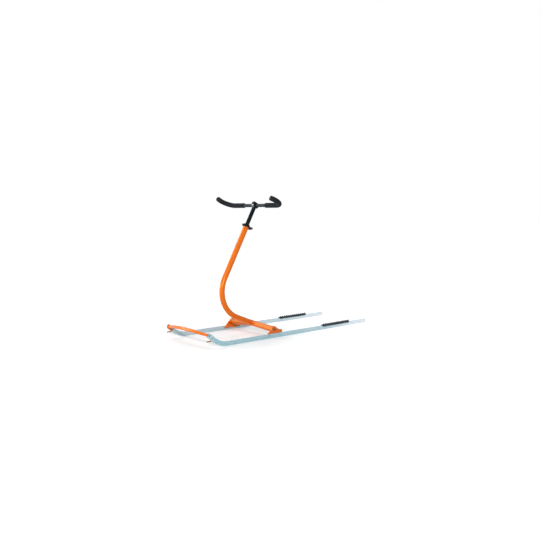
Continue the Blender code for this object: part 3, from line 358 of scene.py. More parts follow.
# Colours, linear
BLUED = ((0.30, 0.49, 0.54), (0.36, 0.55, 0.60))
# Painted light on the right runner, and painted reflection towards the rear
PAINTED_LIGHT_STEEL = (0.66, 0.75, 0.80)
PAINTED_REFLECTION_STEEL = (0.74, 0.81, 0.86)
STREAK_STEEL = (0.66, 0.74, 0.78)
SOLE_STEEL = (0.74, 0.78, 0.80)
HEAD_BLACK = ((0.006, 0.009, 0.011), (0.011, 0.015, 0.019))
# Bare metal of the saddle's painted highlight
HIGHLIGHT_METAL = ((0.25, 0.28, 0.31), (0.34, 0.37, 0.41))
FOAM_SKIN = ((0.013, 0.016, 0.020), (0.023, 0.028, 0.034))
FOAM_PORE = (0.006, 0.007, 0.009)
# Pale tops of the teeth: scuffing and painted light
SCUFFED_AND_LIT_RUBBER = (0.15, 0.18, 0.20)
GOLDEN = (1.0, 0.68, 0.20, 1.0)
WHITE = (1, 1, 1, 1)

# Noise, and the ranges of it that patterns are stretched from: wide, cloudy and streaky
NOISE_DETAIL = 3
NOISE_ROUGHNESS = 0.55
WIDE = (0.3, 0.7)
CLOUDY = (0.35, 0.65)
STREAKY = (0.35, 0.7)

# Stage: the floor's glow rises with the distance from its shaded middle
FLOOR_REACH = 30
FLOOR_COLOUR = (0.88, 0.89, 0.90, 1)
FLOOR_MIDDLE = (0, -0.45, 0)
FLOOR_FADE_START = 0.35
FLOOR_FADE_END = 1.0
FLOOR_GLOW_START = 0.19
FLOOR_GLOW_END = 0.62
FLOOR_GLOW_COLOUR = (0.99, 0.995, 1.0, 1)
AMBIENT = 0.26
AMBIENT_COLOUR = (0.96, 0.98, 1.0, 1)
SUN_POWER = 0.5
SUN_SPREAD = math.radians(40)
SUN_PLACE = (0, 0, 4)


# Finishes

Layer = namedtuple("Layer", "height strength distance")


class Wiring:
    """A node tree and the helpers that wire it."""

    def __init__(self, tree):
        self.tree = tree

    def feed(self, socket, value):
        """Links a socket to an output, or sets it."""
        if isinstance(value, bpy.types.NodeSocket):
            self.tree.links.new(value, socket)
        else:
            socket.default_value = value

    def node(self, kind, inputs=(), **settings):
        """A node with its settings, and its inputs linked or set."""
        made = self.tree.nodes.new(kind)
        for key, value in settings.items():
            setattr(made, key, value)
        for key, value in inputs:
            self.feed(made.inputs[key], value)
        return made

    def math(self, operation, a, b):
        """Arithmetic on two values."""
        return self.node("ShaderNodeMath", [(0, a), (1, b)], operation=operation).outputs[0]

    def vector_math(self, operation, a, b):
        """A value worked out from two vectors."""
        inputs = [(0, a), (1, b)]
        return self.node("ShaderNodeVectorMath", inputs, operation=operation).outputs["Value"]

    def ray_share(self):
        """1 for the rays that see the background: camera, glossy and transmission."""
        path = self.node("ShaderNodeLightPath").outputs
        seen = self.math("MAXIMUM", path["Is Camera Ray"], path["Is Glossy Ray"])
        return self.math("MAXIMUM", seen, path["Is Transmission Ray"])


class Finish(Wiring):
    """A Principled material and the helpers that draw its pattern."""

    def __init__(self, name, **sockets):
        self.material = bpy.data.materials.new(name)
        self.material.use_nodes = True
        super().__init__(self.material.node_tree)
        self.shader = self.tree.nodes["Principled BSDF"]
        self.place = self.node("ShaderNodeTexCoord").outputs["Object"]
        for label, value in sockets.items():
            self.feed(self.shader.inputs[label.replace("_", " ")], value)

    def mapped(self, scale):
        """Object coordinates, scaled."""
        inputs = [("Vector", self.place), ("Scale", scale)]
        return self.node("ShaderNodeMapping", inputs).outputs["Vector"]

    def noise(self, scale, detail=NOISE_DETAIL, stretch=(1, 1, 1)):
        """Noise from 0 to 1."""
        inputs = [
            ("Vector", self.mapped(stretch)),
            ("Scale", scale),
            ("Detail", detail),
            ("Roughness", NOISE_ROUGHNESS),
        ]
        return self.node("ShaderNodeTexNoise", inputs).outputs["Fac"]

    def cells(self, scale):
        """Distance to the nearest cell's middle."""
        inputs = [("Vector", self.place), ("Scale", scale)]
        return self.node("ShaderNodeTexVoronoi", inputs).outputs["Distance"]

    def remap(self, value, low, high, out_low=0.0, out_high=1.0):
        """A value stretched from one range to another, and held inside it."""
        inputs = [
            ("Value", value),
            ("From Min", low),
            ("From Max", high),
            ("To Min", out_low),
            ("To Max", out_high),
        ]
        return self.node("ShaderNodeMapRange", inputs).outputs["Result"]

    def mottle(self, scale, detail=NOISE_DETAIL, low=0.0, high=1.0):
        """Noise, stretched over its usual values so that it runs from low to high."""
        return self.remap(self.noise(scale, detail), *WIDE, low, high)

    def cloud(self, scale, detail=NOISE_DETAIL, stretch=(1, 1, 1)):
        """Noise stretched further, so that it is more often wholly 0 or 1."""
        return self.remap(self.noise(scale, detail, stretch), *CLOUDY)

    def blend(self, share, low, high):
        """A colour between two, by share. Sockets 6 and 7 of the Mix node are its colours."""
        made = self.node("ShaderNodeMix", [(0, share)], data_type="RGBA")
        for index, value in ((6, low), (7, high)):
            self.feed(made.inputs[index], (*value, 1.0) if isinstance(value, tuple) else value)
        return made.outputs[2]

    def axis(self, name):
        """One of the object coordinates: X, Y or Z."""
        return self.node("ShaderNodeSeparateXYZ", [("Vector", self.place)]).outputs[name]

    def colour(self, value):
        self.feed(self.shader.inputs["Base Color"], value)

    def roughness(self, value):
        self.feed(self.shader.inputs["Roughness"], value)

    def bump(self, *layers):
        """Layers of height, one over the other."""
        normal = None
        for height, strength, distance in layers:
            inputs = [("Height", height), ("Strength", strength), ("Distance", distance)]
            if normal:
                inputs.append(("Normal", normal))
            normal = self.node("ShaderNodeBump", inputs).outputs["Normal"]
        self.feed(self.shader.inputs["Normal"], normal)


def powder_coat(name, deep, bright, smooth, rough):
    """Glossy powder coat with a golden sheen, faintly clouded, with a fine orange peel."""
    made = Finish(name, Specular_IOR_Level=0.8, Specular_Tint=GOLDEN)
    made.colour(made.blend(made.cloud(scale=9, detail=4), deep, bright))
    made.roughness(made.mottle(scale=30, low=smooth, high=rough))
    made.bump(
        Layer(made.noise(scale=420, detail=2), strength=0.10, distance=0.0004),
        Layer(made.noise(scale=60, detail=2), strength=0.05, distance=0.001),
    )
    return made.material


def runner_metal():
    """Blued steel, drawn along its length and polished on its sole; paler to the rear as a painted
    reflection, and paler on the right runner as painted light.
    """
    made = Finish("runner_steel", Metallic=0.55)
    drawn = made.noise(scale=90, detail=4, stretch=(1, 0.02, 1))
    steel = made.blend(made.cloud(scale=7, stretch=(1, 0.4, 1)), *BLUED)
    # Painted light: the right runner's steel is paler.
    rightwards = made.remap(made.axis("X"), PAINTED_LIGHT_SPREAD, -PAINTED_LIGHT_SPREAD, 0.0, PAINTED_LIGHT_SHARE)
    steel = made.blend(rightwards, steel, PAINTED_LIGHT_STEEL)
    # Painted reflection: the steel turns paler towards the rear.
    ragged = made.mottle(scale=5, low=-PAINTED_REFLECTION_RAGGED, high=PAINTED_REFLECTION_RAGGED)
    rearwards = made.math("ADD", made.axis("Y"), ragged)
    steel = made.blend(made.remap(rearwards, PAINTED_REFLECTION_START, PAINTED_REFLECTION_END), steel, PAINTED_REFLECTION_STEEL)
    streaks = made.remap(drawn, *STREAKY, 0.0, STREAK_SHARE)
    steel = made.blend(streaks, steel, STREAK_STEEL)
    ragged = made.remap(made.noise(scale=40), 0, 1, -SOLE_RAGGED, SOLE_RAGGED)
    worn = made.remap(made.math("ADD", made.axis("Z"), ragged), SOLE_BLUED, SOLE_BRIGHT)
    made.colour(made.blend(worn, steel, SOLE_STEEL))
    rough = made.remap(drawn, *WIDE, out_low=0.46, out_high=0.56)
    made.roughness(made.math("SUBTRACT", rough, made.math("MULTIPLY", worn, SOLE_GLOSS)))
    made.bump(
        Layer(drawn, strength=0.12, distance=0.0003),
        Layer(made.noise(scale=700, detail=2), strength=0.05, distance=0.0002),
    )
    return made.material


def plated(name, bright, dark):
    """Plated or blacked steel, faintly spotted."""
    made = Finish(name, Metallic=1.0)
    spots = made.remap(made.noise(scale=450), *STREAKY)
    made.colour(made.blend(spots, bright, dark))
    made.roughness(made.mottle(scale=900, detail=2, low=0.28, high=0.42))
    made.bump(Layer(made.noise(scale=1600, detail=2), strength=0.08, distance=0.0002))
    return made.material


def satin_black(name, low, high, sheen, smooth, rough, grain):
    """Black paint on metal, with a fine grain."""
    made = Finish(name, Specular_IOR_Level=sheen)
    made.colour(made.blend(made.mottle(scale=25), low, high))
    made.roughness(made.mottle(scale=80, low=smooth, high=rough))
    made.bump(Layer(made.noise(grain, detail=2), strength=0.12, distance=0.0003))
    return made.material


def black_with_painted_highlight():
    """Black gloss on metal, with a bright bare-metal spot, streaked with fine lines, on the saddle's
    front and rear faces as a painted highlight.
    """
    made = Finish("black_painted_highlight", Specular_IOR_Level=0.12)
    black = made.blend(made.mottle(scale=25), *HEAD_BLACK)
    facing = made.node("ShaderNodeTexCoord").outputs["Normal"]
    along = made.vector_math("DOT_PRODUCT", facing, POST_BACK)
    turned = made.remap(made.math("ABSOLUTE", along, 0.0), *SADDLE_FACING)
    height = made.vector_math("DOT_PRODUCT", made.place, POST_UP)
    depth = BAR_AXIS.dot(POST_UP) - SADDLE_DEPTH
    above = made.remap(height, depth, depth + SADDLE_FADE)
    aside = made.math("ABSOLUTE", made.axis("X"), 0.0)
    spot = made.remap(aside, SADDLE_HIGHLIGHT_SPOT + SADDLE_FADE, SADDLE_HIGHLIGHT_SPOT)
    bright = made.math("MULTIPLY", made.math("MULTIPLY", turned, above), spot)
    lines = made.remap(made.noise(scale=260, stretch=(0.04, 1, 1)), *STREAKY)
    metal = made.blend(lines, *HIGHLIGHT_METAL)
    made.colour(made.blend(bright, black, metal))
    made.feed(made.shader.inputs["Metallic"], bright)
    made.roughness(made.mottle(scale=80, low=0.26, high=0.36))
    made.bump(Layer(made.noise(scale=700, detail=2), strength=0.12, distance=0.0003))
    return made.material


def moulded(name, low, high, smooth, rough, grain):
    """The finish of moulded plastic or rubber with a spark-eroded grain, and its colour."""
    made = Finish(name, Specular_IOR_Level=0.1)
    body = made.blend(made.mottle(scale=60, detail=4), low, high)
    made.colour(body)
    made.roughness(made.mottle(scale=200, low=smooth, high=rough))
    made.bump(
        Layer(made.cells(grain), strength=0.25, distance=0.0003),
        Layer(made.noise(grain / 3, detail=2), strength=0.08, distance=0.0004),
    )
    return made, body


def black_plastic():
    """Moulded black plastic."""
    made, _ = moulded(
        "black_plastic",
        low=(0.012, 0.013, 0.015),
        high=(0.022, 0.024, 0.027),
        smooth=0.39,
        rough=0.54,
        grain=1500,
    )
    return made.material


def tread_rubber():
    """Moulded rubber, paler on top of its teeth: scuffed, and with painted light from above."""
    made, body = moulded(
        "tread_rubber",
        low=(0.038, 0.052, 0.062),
        high=(0.056, 0.072, 0.084),
        smooth=0.55,
        rough=0.70,
        grain=1200,
    )
    # Scuffing and painted light: the tops of the teeth turn pale.
    ragged = made.mottle(scale=220, low=-SCUFF, high=SCUFF)
    height = made.math("ADD", made.axis("Z"), ragged)
    start = TREAD_TOP - SCUFF_START * SCUFF
    scuffed_and_lit = made.remap(height, start, TREAD_TOP - SCUFF_END * SCUFF)
    made.colour(made.blend(scuffed_and_lit, body, SCUFFED_AND_LIT_RUBBER))
    return made.material


def grip_foam():
    """Dense closed-cell foam: matt skin with fine pores and a soft sheen."""
    made = Finish("grip_foam", Specular_IOR_Level=0.05)
    skin = made.blend(made.mottle(scale=35, detail=4), *FOAM_SKIN)
    pores = made.cells(scale=1100)
    made.colour(made.blend(made.remap(pores, low=0.0, high=0.25), FOAM_PORE, skin))
    made.roughness(made.mottle(scale=120, low=0.66, high=0.8))
    made.bump(
        Layer(pores, strength=0.35, distance=0.0004),
        Layer(made.noise(scale=220), strength=0.2, distance=0.0006),
    )
    return made.material


ORANGE = powder_coat(
    "orange_paint",
    deep=(0.70, 0.120, 0.003),
    bright=(0.76, 0.136, 0.004),
    smooth=0.26,
    rough=0.35,
)
# A darker copy of the orange, as painted shade: worn by the left bracket, the hook plates and the hub
# welds
SHADED_ORANGE = powder_coat(
    "bracket_paint",
    deep=(0.63, 0.106, 0.010),
    bright=(0.70, 0.122, 0.012),
    smooth=0.36,
    rough=0.45,
)
# A dark brown copy of the orange: painted shade on the hook jaws
SHADED_JAW_PAINT = powder_coat(
    "jaw_painted_shade",
    deep=(0.30, 0.110, 0.030),
    bright=(0.42, 0.150, 0.035),
    smooth=0.40,
    rough=0.49,
)
PAINT = satin_black(
    "black_paint",
    low=(0.003, 0.006, 0.008),
    high=(0.007, 0.011, 0.014),
    sheen=0.04,
    smooth=0.35,
    rough=0.46,
    grain=900,
)
GLOSS = satin_black(
    "black_gloss",
    low=(0.008, 0.014, 0.019),
    high=(0.013, 0.021, 0.027),
    sheen=0.12,
    smooth=0.25,
    rough=0.36,
    grain=700,
)
ZINC = plated("fastener_steel", bright=(0.42, 0.44, 0.46), dark=(0.28, 0.29, 0.30))
DARK = plated("dark_steel", bright=(0.07, 0.072, 0.078), dark=(0.045, 0.046, 0.05))
RUNNER = runner_metal()
HIGHLIGHT_BLACK = black_with_painted_highlight()
PLASTIC = black_plastic()
FOAM = grip_foam()
TREAD = tread_rubber()


def smoothing_group():
    """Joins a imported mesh's faces and shades it smooth but for its sharp edges."""
    group = bpy.data.node_groups.new("soft_shading", "GeometryNodeTree")
    group.interface.new_socket("Geometry", in_out="INPUT", socket_type="NodeSocketGeometry")
    group.interface.new_socket("Geometry", in_out="OUTPUT", socket_type="NodeSocketGeometry")
    made = Wiring(group)
    start = made.node("NodeGroupInput").outputs[0]
    inputs = [("Geometry", start), ("Distance", MERGE_DISTANCE)]
    merged_mesh = made.node("GeometryNodeMergeByDistance", inputs).outputs[0]
    angle = made.node("GeometryNodeInputMeshEdgeAngle").outputs["Unsigned Angle"]
    sharp = made.node(
        "FunctionNodeCompare",
        [("A", angle), ("B", SHARP_ANGLE)],
        data_type="FLOAT",
        operation="GREATER_THAN",
    ).outputs[0]
    inputs = [
        ("Mesh", merged_mesh),
        ("Remove Custom", True),
        ("Edge Sharpness", sharp),
        ("Face Sharpness", False),
    ]
    shaded = made.node("GeometryNodeSetMeshNormal", inputs, mode="SHARPNESS").outputs[0]
    made.node("NodeGroupOutput", [(0, shaded)])
    return group


SMOOTHING = smoothing_group()


def keep_flats(piece):
    """Keeps flat faces flat beside softened edges."""
    piece.modifiers.new("flats", "WEIGHTED_NORMAL").keep_sharp = True


def dress_node(name, finish, edge=0.0):
    """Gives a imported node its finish, smooth shading and softened edges."""
    node = NODES[name]
    node.data.materials[0] = finish
    node.modifiers.new("shading", "NODES").node_group = SMOOTHING
    if edge:
        planes = node.modifiers.new("planes", "DECIMATE")
        planes.decimate_type = "DISSOLVE"
        planes.angle_limit = FLAT_ANGLE
        edges = node.modifiers.new("edges", "BEVEL")
        edges.width = edge
        edges.segments = EDGE_SEGMENTS
        edges.limit_method = "ANGLE"
        edges.angle_limit = SHARP_ANGLE
        keep_flats(node)


# Shapes


def add_object(name, data):
    """A new object in the scene."""
    made = bpy.data.objects.new(name, data)
    bpy.context.scene.collection.objects.link(made)
    return made


def add_piece(name, bm, finish, body, replaced=()):
    """A new piece on a body, smooth but for its sharp edges."""
    bmesh.ops.recalc_face_normals(bm, faces=bm.faces)
    mesh = bpy.data.meshes.new(name)
    bm.to_mesh(mesh)
    bm.free()
    mesh.shade_smooth()
    mesh.set_sharp_from_angle(angle=SHARP_ANGLE)
    mesh.materials.append(finish)
    piece = add_object(name, mesh)
    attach(piece, body)
    if replaced:
        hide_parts(*replaced)
    return piece


def loft(rings, closed=False, capped=True):
    """A bmesh of faces between rings of as many points."""
    bm = bmesh.new()
    loops = [[bm.verts.new(p) for p in ring] for ring in rings]
    pairs = list(zip(loops, loops[1:]))
    if closed:
        pairs.append((loops[-1], loops[0]))
    elif capped:
        bm.faces.new(loops[0])
        bm.faces.new(loops[-1][::-1])
    for low, high in pairs:
        for i in range(len(low)):
            bm.faces.new((low[i - 1], low[i], high[i], high[i - 1]))
    return bm


def ring(centre, way, first, radius, count):
    """Points round a circle square to way."""
    second = way.cross(first)
    turns = [2 * math.pi * i / count for i in range(count)]
    return [centre + (first * math.cos(t) + second * math.sin(t)) * radius for t in turns]


def level_ring(radius, height, count=FASTENER_POINTS):
    """Points round the Z axis at a height."""
    return ring(Z_AXIS * height, Z_AXIS, X_AXIS, radius, count)


def frame_at(place, way):
    """The matrix that takes +Z to way, at a place."""
    return Matrix.Translation(place) @ way.to_track_quat("Z", "Y").to_matrix().to_4x4()


def moved(bm, matrix):
    """The same bmesh, transformed."""
    bmesh.ops.transform(bm, matrix=matrix, verts=bm.verts)
    return bm


def lathe(profile, count, closed=False):
    """A shape turned about Z from (radius, height) points."""
    return loft([level_ring(radius, height, count) for radius, height in profile], closed)


def slab(outline, low, high, ease):
    """A plate between two stations on X from its (y, z) outline, with eased edges."""
    outline = [Vector(point) for point in outline]
    count = len(outline)
    inner = []
    for i, point in enumerate(outline):
        along = (outline[(i + 1) % count] - outline[i - 1]).normalized()
        inner.append(point - Vector((along.y, -along.x)) * ease)
    between = [a.lerp(b, 1 - EASE_STEP) for a, b in zip(inner, outline)]
    layers = (
        (low, inner),
        (low + ease * EASE_STEP, between),
        (low + ease, outline),
        (high - ease, outline),
        (high - ease * EASE_STEP, between),
        (high, inner),
    )
    return loft([[Vector((x, point.x, point.y)) for point in layer] for x, layer in layers])


def merged(*parts):
    """Several bmeshes as one."""
    whole = bmesh.new()
    for part in parts:
        mesh = bpy.data.meshes.new("part")
        part.to_mesh(mesh)
        part.free()
        whole.from_mesh(mesh)
        bpy.data.meshes.remove(mesh)
    return whole


# Fasteners


def hexagon_ring(half, height, limit=None):
    """Points round a hexagon of half the given width across flats, held inside a circle."""
    points = []
    for i in range(FASTENER_POINTS):
        turn = 2 * math.pi * i / FASTENER_POINTS
        off = (turn + math.pi / 6) % (math.pi / 3) - math.pi / 6
        radius = half / math.cos(off)
        if limit:
            radius = min(radius, limit)
        points.append(Vector((radius * math.cos(turn), radius * math.sin(turn), height)))
    return points


def socket_screw(size, length):
    """A button-head socket screw along Z: seat at 0, domed head, hexagon recess, threaded end."""
    pitch = size.shank * THREAD_PITCH
    rings = [level_ring(size.shank * THREAD_END, -length)]
    for turn in range(THREAD_TURNS):
        foot = pitch * (THREAD_START + turn) - length
        for width, rise in THREAD_PROFILE:
            rings.append(level_ring(size.shank * width, foot + pitch * rise))
    rings.append(level_ring(size.shank, GAP))
    for width, rise in HEAD_DOME:
        rings.append(level_ring(size.head * width, GAP + size.height * rise))
    top = GAP + size.height
    half = size.key / 2
    rings.append(hexagon_ring(half * SOCKET_MOUTH, top))
    rings.append(hexagon_ring(half, top - SOCKET_CHAMFER))
    rings.append(hexagon_ring(half, top - size.height * SOCKET_DEPTH))
    rings.append(level_ring(size.key * SOCKET_TIP, top - size.height * SOCKET_CONE))
    return loft(rings)


def lock_nut(size):
    """A chamfered hexagon nut along Z, its seat at 0, with a rolled collar over its locking ring."""
    half = size.across / 2
    body = size.height * NUT_BODY
    foot, shoulder, rim, mouth = (half * share for share in NUT_COLLAR)
    rings = [
        level_ring(half * NUT_FACE, GAP),
        hexagon_ring(half, GAP + NUT_CHAMFER, half * NUT_CORNER),
        hexagon_ring(half, body - NUT_CHAMFER, half * NUT_CORNER),
        level_ring(half * NUT_FACE, body),
        level_ring(foot, body),
        level_ring(shoulder, size.height - NUT_CHAMFER),
        level_ring(rim, size.height),
        level_ring(mouth, size.height),
        level_ring(size.bore, size.height - NUT_SINK),
        level_ring(size.bore, GAP),
    ]
    return loft(rings, closed=True)


def place_screw(name, size, length, seat, outwards, finish, slot, body):
    """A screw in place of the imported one, on its seat."""
    screw = moved(socket_screw(size, length), frame_at(seat, outwards))
    add_piece(name + "_detail", screw, finish, body, [name])


def add_screw(name, size, length, outwards, finish, slot):
    """A screw along X in place of the sled's packed one, its head facing outwards."""
    low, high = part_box(name)
    reach = (high.x - low.x) / 2 - GAP - size.height
    seat = node_middle(name) + outwards * reach
    place_screw(name, size, length, seat, outwards, finish, slot, "sled")


def add_nut(name, size, outwards, finish, slot):
    """A nut along X in place of the sled's packed one, its seat towards what it grips."""
    seat = node_middle(name) - outwards * (size.height + GAP) / 2
    nut = moved(lock_nut(size), frame_at(seat, outwards))
    add_piece(name + "_detail", nut, finish, "sled", [name])


def make_fasteners():
    """Every bolt, screw and nut."""
    bright = (ZINC, "fastener_steel")
    dark = (DARK, "dark_steel")
    for word, side in SIDES:
        out = X_AXIS * side
        add_screw("cross_screw_" + word, M8, CROSS_SCREW_LENGTH, out, *dark)
        for end in ("front", "rear"):
            add_screw(f"bracket_bolt_{word}_{end}", M6, PLATE_BOLT_LENGTH, out, *bright)
            add_nut(f"bracket_nut_{word}_{end}", M6_NUT, -out, *bright)
            add_screw(f"tread_bolt_{word}_{end}", M4, TREAD_BOLT_LENGTH, out, *bright)
            add_nut(f"tread_nut_{word}_{end}", M4_NUT, -out, *bright)
        add_screw("hook_bolt_" + word, M6, PLATE_BOLT_LENGTH, out, *bright)
        add_nut("hook_nut_" + word, M6_NUT, -out, *bright)
        add_screw("bow_screw_" + word, M6, BOW_SCREW_LENGTH, out, *dark)
    for word, side in (("front", -1), ("rear", 1)):
        seat = BAR_AXIS + POST_UP * CAP_TOP + POST_BACK * side * CAP_BOLT_SPREAD / 2
        place_screw("cap_bolt_" + word, M6, CAP_BOLT_LENGTH, seat, POST_UP, *dark, "stem")
    spoke = X_AXIS * math.cos(BUSH_SCREW_ANGLE) + POST_BACK * math.sin(BUSH_SCREW_ANGLE)
    seat = POST_TOP - POST_UP * BUSH_SCREW_DROP + spoke * POST_RADIUS
    place_screw("bush_screw", M4, BUSH_SCREW_LENGTH, seat, spoke, *dark, "sled")


# Runners


def runner_section(place, up, half_height, half_thickness, corner):
    """A rounded oblong across a runner."""
    points = []
    for right, high in ((1, 1), (-1, 1), (-1, -1), (1, -1)):
        x = right * (half_thickness - corner)
        z = high * (half_height - corner)
        first = math.atan2(high, right) - math.pi / 4
        for i in range(RUNNER_EDGE_STEPS + 1):
            turn = first + math.pi / 2 * i / RUNNER_EDGE_STEPS
            offset = X_AXIS * (x + corner * math.cos(turn)) + up * (z + corner * math.sin(turn))
            points.append(place + offset)
    return points


def end_profile(corner):
    """Distances from a runner's end, with the half height and the inset of its section there."""
    half = RUNNER_HEIGHT / 2 - corner
    profile = [(RUNNER_EDGE * away, half, RUNNER_EDGE * inset) for away, inset in END_EASE]
    for i in range(len(END_EASE), CORNER_STEPS + 1):
        turn = math.pi / 2 * i / CORNER_STEPS
        profile.append((corner * (1 - math.cos(turn)), half + corner * math.sin(turn), 0.0))
    return profile


def runner_point(length):
    """The place on a runner's middle line at a length from its tail, and its way up there."""
    turn = min(max(length - RUNNER_STRAIGHT, 0) / RUNNER_BEND_RADIUS, RUNNER_BEND)
    past = max(length - RUNNER_STRAIGHT - RUNNER_BEND_RADIUS * RUNNER_BEND, 0)
    up = Vector((0, math.sin(turn), math.cos(turn)))
    forward = Vector((0, -math.cos(turn), math.sin(turn)))
    y = RUNNER_TAIL - min(length, RUNNER_STRAIGHT)
    centre = Vector((0, y, RUNNER_HEIGHT / 2 + RUNNER_BEND_RADIUS))
    return centre - up * RUNNER_BEND_RADIUS + forward * past, up


def runner_stations():
    """Lengths along a runner, with the half height and the inset of its section there."""
    bend = RUNNER_BEND_RADIUS * RUNNER_BEND
    total = RUNNER_STRAIGHT + bend + RUNNER_TIP_STRAIGHT + RUNNER_TIP_REACH
    half = RUNNER_HEIGHT / 2
    stations = end_profile(RUNNER_TAIL_CORNER)
    for i in range(1, STRAIGHT_STEPS + 1):
        stations.append((RUNNER_STRAIGHT * i / STRAIGHT_STEPS, half, 0.0))
    for i in range(1, BEND_STEPS + 1):
        stations.append((RUNNER_STRAIGHT + bend * i / BEND_STEPS, half, 0.0))
    for away, height, inset in reversed(end_profile(RUNNER_TIP_CORNER)):
        stations.append((total - away, height, inset))
    return stations


def make_runners():
    """Flat bars on edge with eased edges, each bent up and rounded off at its tip."""
    for word, side in SIDES:
        rings = []
        for length, height, inset in runner_stations():
            place, up = runner_point(length)
            centre = place + X_AXIS * side * RUNNER_X
            thickness = RUNNER_THICKNESS / 2 - inset
            corner = RUNNER_EDGE - inset
            rings.append(runner_section(centre, up, height - inset, thickness, corner))
        name = "runner_" + word
        keep_flats(add_piece(name + "_bar", loft(rings), RUNNER, "sled", [name]))


# Hooks


def hull_outline(centre, radius, other, other_radius, steps):
    """The outline round two circles in a side view, as (y, z) pairs."""
    away = other - centre
    lean = math.atan2(away.y, away.x)
    spread = math.acos((radius - other_radius) / away.length)
    points = []
    for middle, size, first, last in (
        (centre, radius, lean + spread, lean + 2 * math.pi - spread),
        (other, other_radius, lean - spread, lean + spread),
    ):
        for i in range(steps + 1):
            turn = first + (last - first) * i / steps
            points.append(middle + Vector((math.cos(turn), math.sin(turn))) * size)
    return points


def jaw_line():
    """The middle line of a jaw: down from the hook bolt, round a corner and level forward."""
    line = [HOOK_BOLT]
    for i in range(JAW_STEPS + 1):
        turn = math.pi / 2 * i / JAW_STEPS
        line.append(JAW_CORNER + Vector((math.cos(turn) - 1, 1 - math.sin(turn))) * JAW_BEND)
    line.append(Vector((JAW_END, JAW_CORNER.y)))
    return line


def jaw_outline():
    """The outline of a jaw, with a round nose at its front."""
    line = jaw_line()
    upper = []
    lower = []
    for i, place in enumerate(line):
        before = line[max(i - 1, 0)]
        after = line[min(i + 1, len(line) - 1)]
        way = (after - before).normalized()
        out = Vector((way.y, -way.x)) * JAW_HALF
        upper.append(place + out)
        lower.append(place - out)
    nose = []
    for i in range(1, JAW_STEPS):
        turn = math.pi / 2 - math.pi * i / JAW_STEPS
        nose.append(line[-1] + Vector((-math.cos(turn), math.sin(turn))) * JAW_HALF)
    return upper + nose + lower[::-1]


def make_hooks():
    """The plate inside each runner tip, and the jaw that runs forward below it; the plate wears the
    darker bracket orange and the jaw a dark brown, both as painted shade.
    """
    for word, side in SIDES:
        low, high = sorted((side * HOOK_INNER_X, side * HOOK_OUTER_X))
        outline = hull_outline(HOOK_BOLT, HOOK_BOSS, BOW_END, BOW_EYE, HOOK_STEPS)
        plate = slab(outline, low, high, PLATE_EASE)
        name = "bow_hook_" + word
        keep_flats(add_piece(name + "_plate", plate, SHADED_ORANGE, "sled", [name]))
        jaw = slab(jaw_outline(), low + JAW_INSET, high - JAW_INSET, PLATE_EASE)
        keep_flats(add_piece(f"hook_jaw_{word}", jaw, SHADED_JAW_PAINT, "sled"))


# Welds


def bead(path, out, weld, closed=False):
    """A weld bead of overlapping ripples along a path, with the way off the joint at each point."""
    last = weld.points - 1
    rings = []
    for i, place in enumerate(path):
        before = path[i - 1] if closed or i else path[0]
        after = path[(i + 1) % weld.points] if closed or i < last else path[-1]
        way = (after - before).normalized()
        up = (out[i] - way * out[i].dot(way)).normalized()
        wave = (i % weld.ripple) / weld.ripple
        swell = BEAD_LOW + BEAD_SWELL * math.sin(math.pi * wave) ** BEAD_ROUNDING
        if not closed:
            swell *= min(1.0, BEAD_START + BEAD_GROWTH * min(i, last - i))
        rings.append(ring(place, way, up, weld.radius * swell, BEAD_POINTS))
    return loft(rings, closed)


def make_post_weld():
    """The bead round the post where it stands on the cross tube."""
    up = LEG_WAY.cross(X_AXIS).normalized()
    stand = POST_RADIUS + WELD_STAND
    reach = CROSS_RADIUS + WELD_STAND
    path = []
    out = []
    for i in range(POST_WELD.points):
        turn = 2 * math.pi * i / POST_WELD.points
        side = stand * math.cos(turn)
        lift = stand * math.sin(turn)
        along = math.sqrt(reach**2 - lift**2) + WELD_LIFT
        drop = side**2 / (2 * CROSS_BEND_RADIUS)
        path.append(POST_FOOT + X_AXIS * side + up * lift + LEG_WAY * along - Z_AXIS * drop)
        out.append(X_AXIS * math.cos(turn) + up * math.sin(turn) + LEG_WAY * WELD_LEAN)
    weld = bead(path, out, POST_WELD, closed=True)
    add_piece("post_weld", weld, ORANGE, "sled")


def make_bracket_welds():
    """Beads where each hub meets its web, between the hub's end and the cheek."""
    half = math.sqrt(HUB_RADIUS**2 - (HUB_HEIGHT - WEB_TOP) ** 2) + WELD_STAND
    start = HUB_END_X + HUB_WELD_MARGIN
    run = CHEEK_INNER_X - HUB_WELD_MARGIN - start
    for word, side in SIDES:
        parts = []
        for end in (1, -1):
            path = []
            for i in range(HUB_WELD.points):
                x = side * (start + run * i / (HUB_WELD.points - 1))
                path.append(Vector((x, POST_FOOT.y + end * half, WEB_TOP + WELD_LIFT)))
            out = [Vector((0, end, WELD_LEAN))] * HUB_WELD.points
            parts.append(bead(path, out, HUB_WELD))
        # The beads wear the darker bracket orange, painted shade.
        add_piece("hub_weld_" + word, merged(*parts), SHADED_ORANGE, "sled")


def make_bow_welds():
    """The bead round each end of the front bow."""
    for word, side in SIDES:
        centre = Vector((side * (HOOK_INNER_X - WELD_LIFT), *BOW_END))
        path = []
        out = []
        for i in range(BOW_WELD.points):
            turn = 2 * math.pi * i / BOW_WELD.points
            spoke = Vector((0, math.cos(turn), math.sin(turn)))
            path.append(centre + spoke * BOW_WELD_REACH)
            out.append(spoke - X_AXIS * side * WELD_LEAN)
        weld = bead(path, out, BOW_WELD, closed=True)
        add_piece("bow_weld_" + word, weld, ORANGE, "sled")


# Bar and post mouth


